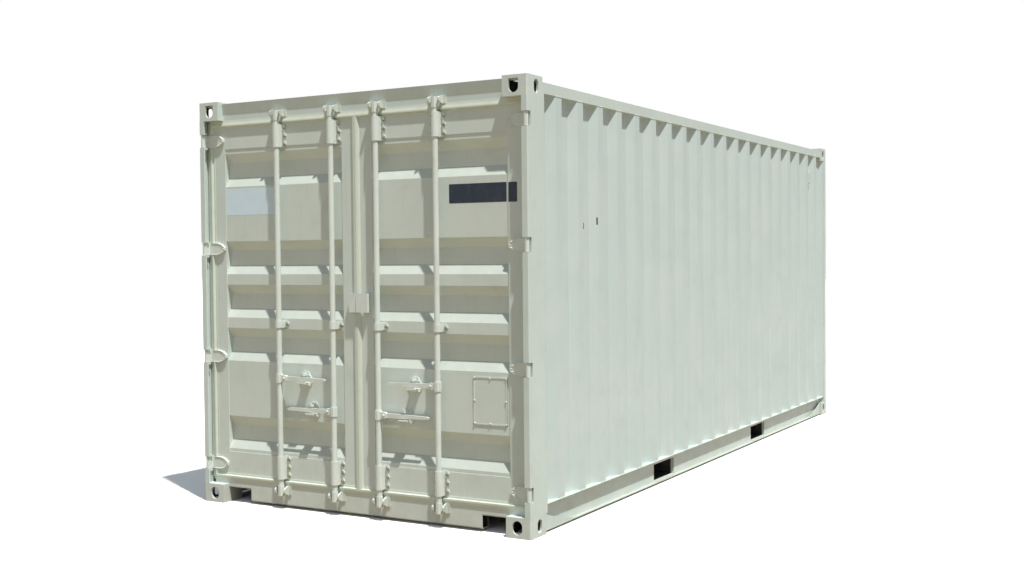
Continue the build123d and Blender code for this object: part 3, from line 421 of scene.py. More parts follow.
@dataclass(frozen=True)
class DeckPlywood:
    """Hardwood deck plywood, oiled and scuffed: sheets 1.2 m long with dark joints and long grain."""

    name: str = "keruing_plywood"
    wood: str = "8a5f3c"
    grain: str = "5b3a22"
    sheet_m: float = 1.2

    def make(self) -> Material:
        """Build the material.

        Returns:
            The finished material.
        """
        material, tree = new_tree(self.name)
        # Grain lines about 9 mm apart that run with the box.
        lines = noise(tree, place(tree, Run.ALONG), 9.0, 5.0, 0.6)
        colour = tint(tree, ramp(tree, lines, 0.42, 0.68), linear(self.wood), linear(self.grain))
        bricks = add_node(tree, "ShaderNodeTexBrick",
                          {"Vector": object_point(tree), "Color1": (1, 1, 1, 1), "Color2": (1, 1, 1, 1),
                           "Mortar": (0, 0, 0, 1), "Scale": 1.0, "Mortar Size": 0.0025, "Mortar Smooth": 0.1,
                           "Brick Width": 2 * self.sheet_m, "Row Height": self.sheet_m}, offset=0.5)
        gap = add_node(tree, "ShaderNodeInvert", {"Color": bricks.outputs["Color"]})
        colour = tint(tree, gap.outputs[0], colour, linear("1d140d"))
        scuff = ramp(tree, noise(tree, place(tree), 240.0, 6.0, 0.65), 0.5, 0.75)
        colour = tint(tree, times(tree, scuff, 0.35), colour, linear("a08a70"))
        normal = bump(tree, lines, 0.4, 0.6)
        normal = bump(tree, bricks.outputs["Fac"], -1.0, 1.0, normal)
        shade(tree, colour, 0.62, normal)
        return material


@dataclass(frozen=True)
class CastVinyl:
    """Self-adhesive cast vinyl, bare of any lettering: smooth and slightly glossy, with road dust on it."""

    name: str
    face: str
    soiled: str = "8d8873"
    streak: float = 0.15

    def make(self) -> Material:
        """Build the material.

        Returns:
            The finished material.
        """
        material, tree = new_tree(self.name)
        even = place(tree)
        cloud = ramp(tree, noise(tree, even, 60.0, 5.0, 0.6), 0.45, 0.75)
        colour = tint(tree, times(tree, cloud, self.streak), linear(self.face), linear(self.soiled))
        # Small bubbles under the film, 15 mm apart.
        normal = bump(tree, ramp(tree, noise(tree, even, 15.0, 2.0), 0.6, 0.8), 0.3, 0.6)
        shade(tree, colour, 0.38, normal, 1.45)
        return material


@dataclass(frozen=True)
class RubbedScar:
    """Paint rubbed through by a blow and darkened by rust: matt grey-brown, broken up at its edge."""

    name: str = "rubbed_scar"
    dark: str = "4e4c45"
    brown: str = "6b5139"

    def make(self) -> Material:
        """Build the material.

        Returns:
            The finished material.
        """
        material, tree = new_tree(self.name)
        grain = noise(tree, place(tree), 7.0, 4.0, 0.7)
        colour = tint(tree, ramp(tree, grain, 0.4, 0.65), linear(self.dark), linear(self.brown))
        normal = bump(tree, grain, 0.3, 0.8)
        shade(tree, colour, 0.85, normal)
        return material


@dataclass(frozen=True)
class StudioGround:
    """A plain pale floor: white to the camera and to gloss, and sand-warm in the light it throws back."""

    name: str = "pale_floor"
    shown: str = "ffffff"
    bounce: str = "937f54"

    def make(self) -> Material:
        """Build the material.

        Returns:
            The finished material.
        """
        material, tree = new_tree(self.name)
        path = add_node(tree, "ShaderNodeLightPath")
        seen = times(tree, path.outputs["Is Camera Ray"], path.outputs["Is Glossy Ray"], "MAXIMUM")
        seen = times(tree, seen, path.outputs["Is Transmission Ray"], "MAXIMUM")
        colour = tint(tree, seen, linear(self.bounce), linear(self.shown))
        shader = add_node(tree, "ShaderNodeBsdfDiffuse", {"Color": colour, "Roughness": 0.6})
        add_node(tree, "ShaderNodeOutputMaterial", {"Surface": shader.outputs[0]})
        return material


def link(name: str, data: bpy.types.ID) -> Thing:
    """Put an object with its data into the scene.

    Args:
        name: The object's name.
        data: Its mesh, lamp or camera.

    Returns:
        The object.
    """
    thing = bpy.data.objects.new(name, data)
    bpy.context.scene.collection.objects.link(thing)
    return thing


def at(*point: float) -> Matrix:
    """The place of a part that keeps its direction; the point is in millimetres, the matrix in metres."""
    return Matrix.Translation(Vector(point) * MM)


def half_ball(sides: int, away: Point) -> Mesh:
    """Half a ball of one metre's radius around the origin, closed on its flat side.

    Args:
        sides: How many sides it has around +Z.
        away: Where the half lay that is cut off.

    Returns:
        The half ball.
    """
    mesh = bmesh.new()
    bmesh.ops.create_uvsphere(mesh, u_segments=sides, v_segments=8, radius=1.0)
    cut = mesh.verts[:] + mesh.edges[:] + mesh.faces[:]
    bmesh.ops.bisect_plane(mesh, geom=cut, plane_co=(0, 0, 0), plane_no=away, clear_outer=True)
    bmesh.ops.contextual_create(mesh, geom=[e for e in mesh.edges if e.is_boundary])
    return mesh


@dataclass
class Piece:
    """One mesh under construction, which ends as an object at the origin that rides a body."""

    name: str
    body: str
    slot: str
    material: Material
    mesh: Mesh = field(default_factory=bmesh.new)

    def add(self, part: Mesh, *places: Matrix) -> None:
        """Add copies of a small mesh at places, and free it.

        Args:
            part: The small mesh, around its own origin.
            *places: The copies' places and turns, in metres.
        """
        for where in places:
            copy = bpy.data.meshes.new("copy")
            part.to_mesh(copy)
            copy.transform(where)
            self.mesh.from_mesh(copy)
            bpy.data.meshes.remove(copy)
        part.free()

    def finish(self, smooth_deg: float = 35.0) -> Thing:
        """Make the object, dress it and let it ride its body.

        Args:
            smooth_deg: Edges flatter than this angle are shaded smooth, unless they are seams.

        Returns:
            The finished object.
        """
        bmesh.ops.recalc_face_normals(self.mesh, faces=self.mesh.faces)
        for edge in self.mesh.edges:
            edge.smooth = not edge.seam and edge.calc_face_angle(math.pi) < math.radians(smooth_deg)
        for face in self.mesh.faces:
            face.smooth = True
        data = bpy.data.meshes.new(self.name)
        self.mesh.to_mesh(data)
        self.mesh.free()
        data.materials.append(self.material)
        thing = link(self.name, data)
        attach(thing, self.body)
        LOG.info("%s rides %s with %d faces", self.name, self.body, len(data.polygons))
        return thing


def aim(point: Point, direction: Axis, turn: float = 0.0) -> Matrix:
    """The place of a part made along +Z that stands on a point and points elsewhere, turned by some degrees."""
    spin = direction.value.to_track_quat("Z", "Y").to_matrix().to_4x4()
    return at(*point) @ spin @ Matrix.Rotation(math.radians(turn), 4, "Z")


@dataclass
class HexBolt:
    """A hexagon bolt head on a round washer, made along +Z."""

    across_mm: float = 17.0
    height_mm: float = 7.0
    washer_mm: float = 24.0
    washer_thick_mm: float = 2.0

    def build(self) -> Mesh:
        """Make the mesh.

        Returns:
            The bolt head around the origin.
        """
        mesh = bmesh.new()
        washer = bmesh.ops.create_cone(mesh, cap_ends=True, segments=16, radius1=self.washer_mm / 2 * MM,
                                       radius2=self.washer_mm / 2 * MM, depth=self.washer_thick_mm * MM)
        bmesh.ops.translate(mesh, verts=washer["verts"], vec=(0, 0, self.washer_thick_mm / 2 * MM))
        radius = self.across_mm / math.sqrt(3)
        head = bmesh.ops.create_cone(mesh, cap_ends=True, segments=6, radius1=radius * MM,
                                     radius2=radius * MM, depth=self.height_mm * MM)
        bmesh.ops.translate(mesh, verts=head["verts"],
                            vec=(0, 0, (self.washer_thick_mm + self.height_mm / 2) * MM))
        top = [e for e in mesh.edges if all(v.co.z > (self.washer_thick_mm + 1) * MM for v in e.verts)]
        bmesh.ops.bevel(mesh, geom=top, offset=1.4 * MM, segments=2, profile=0.5, affect="EDGES", material=-1)
        return mesh


@dataclass
class DomeRivet:
    """A domed rivet head, made along +Z."""

    radius_mm: float = 6.0
    height_mm: float = 3.0

    def build(self) -> Mesh:
        """Make the mesh.

        Returns:
            The rivet head around the origin.
        """
        mesh = half_ball(12, (0, 0, -1))
        size = Vector((self.radius_mm, self.radius_mm, self.height_mm)) * MM
        bmesh.ops.scale(mesh, verts=mesh.verts, vec=size)
        return mesh


@dataclass
class WeldBead:
    """A run of weld with its ripples, made along +Z."""

    radius_mm: float = 4.0
    ripple_mm: float = 16.0
    sides: int = 6

    def build(self, length_mm: float) -> Mesh:
        """Make the mesh.

        Args:
            length_mm: The run's length.

        Returns:
            The bead along +Z.
        """
        mesh = bmesh.new()
        start = bmesh.ops.create_circle(mesh, cap_ends=True, segments=self.sides,
                                        radius=self.radius_mm * 0.75 * MM)
        face = start["verts"][0].link_faces[0]
        count = max(2, int(length_mm / self.ripple_mm))
        step = length_mm / count * MM
        for _ in range(count):
            for share, wide in ((0.35, 1.3), (0.65, 1 / 1.3)):
                made = bmesh.ops.extrude_discrete_faces(mesh, faces=[face])
                face = made["faces"][0]
                bmesh.ops.translate(mesh, verts=face.verts, vec=(0, 0, step * share))
                middle = face.calc_center_median()
                bmesh.ops.scale(mesh, verts=face.verts, vec=(wide, wide, 1),
                                space=Matrix.Translation(-middle))
        return mesh

    def between(self, piece: Piece, first: Point, last: Point) -> None:
        """Lay a run from one point to another.

        Args:
            piece: The piece that takes the run.
            first: The start, in millimetres.
            last: The end, in millimetres.
        """
        way = Vector(last) - Vector(first)
        spin = way.to_track_quat("Z", "Y").to_matrix().to_4x4()
        piece.add(self.build(way.length), at(*first) @ spin)

    def along(self, piece: Piece, points: Sequence[Point]) -> None:
        """Lay runs from point to point of a line."""
        for first, last in zip(points, points[1:]):
            self.between(piece, first, last)


@dataclass
class ThinPlate:
    """A flat plate with rounded corners, made in the YZ plane around the origin."""

    width_mm: float
    height_mm: float
    thick_mm: float = 1.5
    round_mm: float = 4.0

    def build(self) -> Mesh:
        """Make the mesh.

        Returns:
            The plate around the origin.
        """
        mesh = bmesh.new()
        bmesh.ops.create_cube(mesh, size=1.0)
        size = Vector((self.thick_mm, self.width_mm, self.height_mm)) * MM
        bmesh.ops.scale(mesh, verts=mesh.verts, vec=size)
        corners = [e for e in mesh.edges if abs(e.verts[0].co.x - e.verts[1].co.x) > self.thick_mm * MM / 2]
        bmesh.ops.bevel(mesh, geom=corners, offset=self.round_mm * MM, segments=4, profile=0.5,
                        affect="EDGES", material=-1)
        return mesh


def dress_node(node: Thing, material: Material) -> None:
    """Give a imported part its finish.

    Args:
        node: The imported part.
        material: Its finish.
    """
    if not node.data.materials:
        node.data.materials.append(material)
    for index in range(len(node.data.materials)):
        node.material_slots[index].material = material


@dataclass
class Shell:
    """The box: frame, skin, roof, floor and what lies under it, with its welds and deck screws."""

    # The sides' enamel is a little cooler than the doors': a painted reflection of the blue sky on the sunlit
    # sides.
    walls: SprayedEnamel = SprayedEnamel("enamel_on_corrugated_sheet", base="cad9d9", faded="cfdcdc", soil=0.06,
                                         streaks=0.08, dent_mm=3.0, roughness=0.44, low_dirt=0.08)
    frame: SprayedEnamel = SprayedEnamel("enamel_on_heavy_frame", base="cfdcd9", faded="d4dfdc", soil=0.10,
                                         dent_mm=0.6, dent_size_mm=180.0, ledge_dust_and_shade=0.35)
    casting: SprayedEnamel = SprayedEnamel("enamel_on_cast_steel", base="d1dcd8", faded="d6dfdb", soil=0.10,
                                           dent_mm=0.8, dent_size_mm=40.0, roughness=0.5, shadedhollow=CASTING_SHADED_HOLLOW)
    sill: SprayedEnamel = SprayedEnamel("enamel_on_door_sill", base="d0dad6", faded="d5ddd9", soil=0.12,
                                        dent_mm=0.8, dent_size_mm=180.0, shadedhollow=SILL_SHADED_HOLLOW)
    # The roof's enamel is darker and greyer than the sides': road dust, and painted shade that keeps the sunlit
    # top from glaring.
    roof: SprayedEnamel = SprayedEnamel("enamel_on_roof_sheet", base="bcc1b9", faded="c4c8c0", soil=0.30,
                                        dent_mm=4.0, run=Run.EVEN)
    under: UnderCoating = UnderCoating()
    # The fork pockets' near-black insides are painted shade, with the enamel at their mouths.
    pocket: UnderCoating = UnderCoating("underseal_in_painted_mouth", painted="d1d9d1", painted_from_mm=1158.0)
    deck: DeckPlywood = DeckPlywood()
    bead: WeldBead = field(default_factory=WeldBead)
    skin_y_mm: float = 1214.0
    shadedhollow_depth_mm: float = 36.0
    shadedhollow_pitch_mm: float = 280.0
    shadedhollow_first_mm: float = -2784.0
    shadedhollow_flat_mm: float = 72.0
    shadedhollow_slope_mm: float = 68.0
    rail_top_mm: float = 171.0
    rail_under_mm: float = 2501.0
    wall_ends_mm: Pair = (-2833.0, 2944.0)
    rail_edge: WeldBead = field(default_factory=lambda: WeldBead(4.4, 40.0, 8))
    rail_ends_mm: Pair = (-2833.0, 2935.0)
    hood_half_mm: Point = (15.0, 6.0, 4.0)
    hood_pitch_mm: float = 15.0
    screw_rows: int = 18
    screw_pitch_mm: float = 150.0

    def dress(self, nodes: dict[str, Thing]) -> dict[str, Material]:
        """Give the box's own parts their finishes.

        Args:
            nodes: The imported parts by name.

        Returns:
            The finishes, by use.
        """
        made = {"walls": self.walls.make(), "frame": self.frame.make(), "roof": self.roof.make(),
                "casting": self.casting.make(), "sill": self.sill.make(), "under": self.under.make(),
                "pocket": self.pocket.make(), "deck": self.deck.make()}
        plan = {"walls": ("side_wall_left", "side_wall_right", "front_wall", "side_vents"),
                "casting": ("castings_front_bottom", "castings_front_top", "castings_rear_bottom",
                            "castings_rear_top"),
                "roof": ("roof",), "under": ("cross_members",), "pocket": ("fork_pockets",), "deck": ("floor",),
                "sill": ("door_sill",),
                "frame": ("rear_post_left", "rear_post_right", "front_post_left", "front_post_right",
                          "door_header", "bottom_side_rail_left", "bottom_side_rail_right", "rail_gussets",
                          "top_side_rail_left", "top_side_rail_right", "front_bottom_rail", "front_top_rail")}
        for use, names in plan.items():
            for name in names:
                dress_node(nodes[name], made[use])
        return made

    def wall_line(self, sign: int, level: float) -> list[Point]:
        """The line along which a corrugated side meets a rail.

        Args:
            sign: 1 for the left side, -1 for the right.
            level: The height of the line.

        Returns:
            The line's corners from end to end, in millimetres.
        """
        start, end = self.wall_ends_mm
        deep = self.skin_y_mm - self.shadedhollow_depth_mm
        line = [(start, self.skin_y_mm)]
        middle, flat = self.shadedhollow_first_mm, self.shadedhollow_flat_mm / 2
        while middle + flat + self.shadedhollow_slope_mm < end:
            for x, y in ((-flat - self.shadedhollow_slope_mm, self.skin_y_mm), (-flat, deep),
                         (flat, deep), (flat + self.shadedhollow_slope_mm, self.skin_y_mm)):
                line.append((middle + x, y))
            middle += self.shadedhollow_pitch_mm
        line.append((end, self.skin_y_mm))
        inside = [(x, y) for x, y in line if x >= start]
        if inside[0][0] > start + 1:
            # The first hollow is cut by the post partway down its slope.
            inside.insert(0, (start, deep))
        return [(x, sign * y, level) for x, y in inside]

    def wall_welds(self, sign: int, enamel: Material) -> None:
        """Weld one corrugated side to its rails.

        Args:
            sign: 1 for the left side, -1 for the right.
            enamel: The finish that covers the welds.
        """
        side = "left" if sign > 0 else "right"
        piece = Piece(f"{side}_wall_welds", "container", "wall_paint", enamel)
        for level in (self.rail_top_mm, self.rail_under_mm):
            line = [(x, y - sign * 1.0, z) for x, y, z in self.wall_line(sign, level)]
            self.bead.along(piece, [p for p in line if p[0] < self.rail_ends_mm[1]])
        # The rounded outer edge of the rail's upper flange.
        edge = self.rail_edge.build(self.rail_ends_mm[1] - self.rail_ends_mm[0])
        start = at(self.rail_ends_mm[0], sign * (self.skin_y_mm - 0.5), self.rail_top_mm - 3.5)
        piece.add(edge, start @ Matrix.Rotation(math.radians(90), 4, "Y"))
        piece.finish(60.0)

    def vent_hoods(self, enamel: Material) -> None:
        """Press a ladder of five small hoods in the face of each side vent.

        Args:
            enamel: The finish.
        """
        low, high = (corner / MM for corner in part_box("side_vents"))
        piece = Piece("vent_hoods", "container", "wall_paint", enamel)
        hood = half_ball(16, (0, -1, 0))
        bmesh.ops.scale(hood, verts=hood.verts, vec=Vector(self.hood_half_mm) * MM)
        middle = (low + high) / 2
        piece.add(hood, *(at(middle.x, sign * (high.y - 0.4), middle.z + step * self.hood_pitch_mm)
                          for sign in (-1, 1) for step in range(-2, 3)))
        piece.finish()

    def deck_screws(self, steel: Material) -> None:
        """Screw the deck to the cross members.

        Args:
            steel: The finish of the screw heads.
        """
        low, high = (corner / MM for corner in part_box("floor"))
        piece = Piece("deck_screws", "container", "gear_paint", steel)
        pitch = (high.x - low.x) / (self.screw_rows + 1)
        piece.add(DomeRivet(9.0, 1.2).build(),
                  *(aim((low.x + pitch * row + 20.0, across * self.screw_pitch_mm, high.z), Axis.UPWARD)
                    for row in range(1, self.screw_rows + 1) for across in range(-7, 8)))
        piece.finish()

    def scars(self, scar: Material) -> None:
        """Leave two short scars on the right side where the photograph shows them.

        Args:
            scar: The finish of the bare, rusty spots.
        """
        piece = Piece("wall_scars", "container", "wall_paint", scar)
        for x, y, z, wide, tall, turned in ((-2131.7, -1207.9, 1793.0, 12.0, 46.0, 62.1),
                                            (-2333.0, -1214.1, 1760.0, 9.0, 40.0, 90.0)):
            turn = Matrix.Rotation(math.radians(turned), 4, "Z")
            piece.add(ThinPlate(wide, tall, 0.5, 3.5).build(), at(x, y, z) @ turn)
        piece.finish()


@dataclass
class DoorLip:
    """The rubber round one leaf: a rounded lip that laps the frame, and the seal on the leaf's edge."""

    leaf: Leaf
    low_mm: float = 141.0
    high_mm: float = 2472.5
    edge_mm: float = 1201.5
    head_lap_mm: float = 8.0
    foot_lap_mm: float = 12.0
    flange_mm: float = 61.5
    meeting_mm: dict[Leaf, Pair] = field(
        default_factory=lambda: {Leaf.LEFT: (3.1, 23.1), Leaf.RIGHT: (-2.0, 23.0)})
    meeting_round: dict[Leaf, Pair] = field(
        default_factory=lambda: {Leaf.LEFT: (0.80, 0.93), Leaf.RIGHT: (0.36, 0.72)})
    lap_depth_mm: float = 53.4
    hinge_half_mm: float = 40.5

    def loops(self) -> list[Turn]:
        """The lip's section: for each turn round the leaf, its depth and how far in it lies on four sides.

        Returns:
            Depth, then the way in from the head, foot, hinge side and meeting edge, in millimetres.
        """
        near, far = self.meeting_mm[self.leaf]
        wide = far - near
        shoulder, foot_of = (share * wide for share in self.meeting_round[self.leaf])
        back, own = self.lap_depth_mm, LEAF_DEPTH
        over, under = self.head_lap_mm, self.foot_lap_mm
        crown = back - 6.6
        return [(back, 0.0, 0.0, 21.0, 0.0),
                (back - 1.6, 0.4, 0.4, 25.0, 0.1),
                (back - 2.4, 13.0, 5.0, 28.0, 0.2),
                (back - 4.4, 20.5, 10.0, 33.0, 0.3),
                (crown, 28.0, 16.0, 38.0, 0.4),
                (crown + 1.6, 37.5, 31.0, 43.0, shoulder),
                (crown + 7.0, 39.8, 32.4, 46.5, foot_of),
                (own - 2.0, 41.0, 33.6, 48.5, wide),
                (own - 1.9, 49.0, 46.0, self.flange_mm, wide + 0.3),
                (own, 49.4, 46.4, self.flange_mm + 0.4, wide + 0.5),
                (own, over, under, 0.0, 0.6),
                (back, over, under, 20.5, 0.6)]

    def corners(self, depth: float, head: float, foot: float, side: float, meeting: float) -> list[Vector]:
        """The four corners of one turn of the section.

        Args:
            depth: How far behind the door end it lies.
            head: The way in from the lip's upper edge.
            foot: The way in from its lower edge.
            side: The way in from its hinge side.
            meeting: The way in from its meeting edge.

        Returns:
            The corners in metres, in order round the leaf.
        """
        inner, outer = self.meeting_mm[self.leaf][0] + meeting, self.edge_mm - side
        low, high = self.low_mm + foot, self.high_mm - head
        return [Vector(self.leaf.point(depth, y, z)) * MM
                for y, z in ((inner, low), (outer, low), (outer, high), (inner, high))]

    def sweep(self, mesh: Mesh, loops: list[Turn]) -> None:
        """Extrude the turns of a section into a closed ring, its mitres marked as seams.

        Args:
            mesh: The mesh that takes the ring.
            loops: The turns, in order round the section.
        """
        verts = [bmesh.ops.create_vert(mesh, co=corner)["vert"][0] for corner in self.corners(*loops[0])]
        edges = [mesh.edges.new((verts[i], verts[(i + 1) % 4])) for i in range(4)]
        for loop in loops[1:] + loops[:1]:
            grown = bmesh.ops.extrude_edge_only(mesh, edges=edges)["geom"]
            places = dict(zip(verts, self.corners(*loop)))
            edges = [e for e in grown if isinstance(e, bmesh.types.BMEdge) and e.is_boundary]
            moved = {}
            for vert in (v for v in grown if isinstance(v, bmesh.types.BMVert)):
                mitre = next(e for e in vert.link_edges if e.other_vert(vert) in places)
                mitre.seam = True
                moved[mitre.other_vert(vert)] = vert
                vert.co = places[mitre.other_vert(vert)]
            verts = [moved[v] for v in verts]
        bmesh.ops.remove_doubles(mesh, verts=mesh.verts, dist=1e-6)

    def notch(self, mesh: Mesh) -> None:
        """Cut the hinge side of the lip away where the hinge blades pass.

        Args:
            mesh: The lip.
        """
        reach = (self.edge_mm - self.flange_mm - 2.0) * MM

        def beside(face: bmesh.types.BMFace) -> bool:
            """Tell whether a face lies in the lip's hinge side."""
            return all(abs(v.co.y) > reach for v in face.verts)

        for level in HINGE_LEVELS:
            bounds = (level - self.hinge_half_mm) * MM, (level + self.hinge_half_mm) * MM
            for height in bounds:
                faces = [f for f in mesh.faces if beside(f)]
                edges = {e for f in faces for e in f.edges}
                geom = faces + list(edges) + list({v for f in faces for v in f.verts})
                bmesh.ops.bisect_plane(mesh, geom=geom, plane_co=(0, 0, height), plane_no=(0, 0, 1))
            gone = [f for f in mesh.faces if beside(f) and bounds[0] < f.calc_center_median().z < bounds[1]]
            bmesh.ops.delete(mesh, geom=gone, context="FACES")
            rims = [e for e in mesh.edges if e.is_boundary]
            bmesh.ops.holes_fill(mesh, edges=rims, sides=0)

    def build(self, rubber: Material) -> Thing:
        """Make the lip and the seal behind it.

        Args:
            rubber: The finish.

        Returns:
            The finished piece.
        """
        piece = Piece(f"{self.leaf.side}_door_lip", self.leaf.body, "seal", rubber)
        self.sweep(piece.mesh, self.loops())
        self.notch(piece.mesh)
        seal = bmesh.new()
        # The plain seal on the leaf's edge, 8 mm thick and 30 mm deep.
        near = self.meeting_mm[self.leaf][0]
        start, end = LEAF_DEPTH - 0.5, LEAF_DEPTH + 30.0
        outer = (self.high_mm - 2448.0, 168.0 - self.low_mm, self.edge_mm - 1158.0, 14.0 - near)
        inner = tuple(value + 8.0 for value in outer)
        self.sweep(seal, [(start, *outer), (end, *outer), (end, *inner), (start, *inner)])
        piece.add(seal, Matrix.Identity(4))
        thing = piece.finish(50.0)
        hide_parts(f"{self.leaf.side}_door_gasket")
        return thing


@dataclass
class LockingGear:
    """The four locking bars with the bolts of their bearings and the pins and rivets of handles and catches."""

    finish: SprayedEnamel = SprayedEnamel("enamel_on_forged_gear", base="dbe4e0", faded="dfe6e2", soil=0.14,
                                          patch_mm=160.0, dent_mm=0.5, dent_size_mm=60.0, ledge_dust_and_shade=0.10)
    # The bolt heads' dark enamel is partly wear and rust, partly painted shade that flattens their sunlit
    # facets.
    worn: SprayedEnamel = SprayedEnamel("worn_enamel_on_bolts", base="a6a896", faded="8f907e", soiled="6a5a41",
                                        patch_mm=30.0, soil=0.45, dent_mm=0.2, dent_size_mm=12.0, roughness=0.6)
    grimy: SprayedEnamel = SprayedEnamel("grimy_enamel_on_keepers", base="d3dbd4", faded="d9dfd8",
                                         soiled="7a6d4e", patch_mm=40.0, soil=0.55, streaks=0.3, dent_mm=0.6,
                                         dent_size_mm=25.0)
    bolt: HexBolt = field(default_factory=HexBolt)
    bar_offsets_mm: Pair = (593.0, 168.0)
    handle_levels_mm: Pair = (828.0, 638.0)
    bearing_levels_mm: Pair = (2351.0, 261.0)
    bearing_pitch_mm: float = 52.0
    guide_level_mm: float = 1168.0
    bolt_beside_mm: float = 38.0
    bolt_turn_deg: float = 23.0
    foot_plate_mm: float = 6.0
    catch_distance_mm: float = 182.0
    catch_depth_mm: float = 60.0
    ear_at_mm: float = 44.0
    ear_depth_mm: float = 12.5

    def dress(self, nodes: dict[str, Thing]) -> Material:
        """Give the gear its finish.

        Args:
            nodes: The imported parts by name.

        Returns:
            The finish.
        """
        enamel = self.finish.make()
        dress_node(nodes["cam_keepers"], self.grimy.make())
        for leaf in Leaf:
            for part in ("hinge_blades", "bar_brackets", "handle_catches", "joint_guard"):
                dress_node(nodes[f"{leaf.side}_{part}"], enamel)
        for index in range(1, 5):
            dress_node(nodes[f"bar_{index}"], enamel)
        return enamel

    def bearing_bolts(self, leaf: Leaf, enamel: Material) -> None:
        """Bolt the bearings and guides of two bars to one leaf.

        Args:
            leaf: The leaf.
            enamel: The finish.
        """
        piece = Piece(f"{leaf.side}_bearing_bolts", leaf.body, "gear_paint", enamel)
        rows = [(LEAF_DEPTH, level + step) for level in self.bearing_levels_mm
                for step in (-self.bearing_pitch_mm, 0.0, self.bearing_pitch_mm)]
        rows.append((SHEET_DEPTH, self.guide_level_mm))
        spots = [leaf.point(depth - self.foot_plate_mm, y + way * self.bolt_beside_mm, z)
                 for y in self.bar_offsets_mm for depth, z in rows for way in (-1, 1)]
        # No two heads next to each other stand at the same turn.
        piece.add(self.bolt.build(), *(aim(spot, Axis.DOORWARD, self.bolt_turn_deg * count)
                                       for count, spot in enumerate(spots, 1)))
        piece.finish()

    def catch_rivets(self, leaf: Leaf, enamel: Material) -> None:
        """Rivet the two handle catches of one leaf.

        Args:
            leaf: The leaf.
            enamel: The finish.
        """
        piece = Piece(f"{leaf.side}_catch_rivets", leaf.body, "gear_paint", enamel)
        for y, way, level in zip(self.bar_offsets_mm, (-1, 1), self.handle_levels_mm):
            centre = y + way * self.catch_distance_mm
            piece.add(DomeRivet(6.5, 3.5).build(),
                      *(aim(leaf.point(self.catch_depth_mm, centre + across, level + rise), Axis.DOORWARD)
                        for rise in (22.0, -32.0) for across in (-24.0, 24.0)))
        piece.finish()

    def handle_pins(self, enamel: Material) -> None:
        """Pin each handle between the ears of its bar's hub.

        Args:
            enamel: The finish.
        """
        pins = {1: (Leaf.LEFT, 0), 2: (Leaf.LEFT, 1), 3: (Leaf.RIGHT, 1), 4: (Leaf.RIGHT, 0)}
        for index, (leaf, row) in pins.items():
            y = self.bar_offsets_mm[row] + (-1, 1)[row] * self.ear_at_mm
            piece = Piece(f"handle_pin_{index}", f"locking_bar_{index}", "gear_paint", enamel)
            piece.add(DomeRivet(9.0, 5.0).build(),
                      aim(leaf.point(self.ear_depth_mm, y, self.handle_levels_mm[row]), Axis.DOORWARD))
            piece.finish()


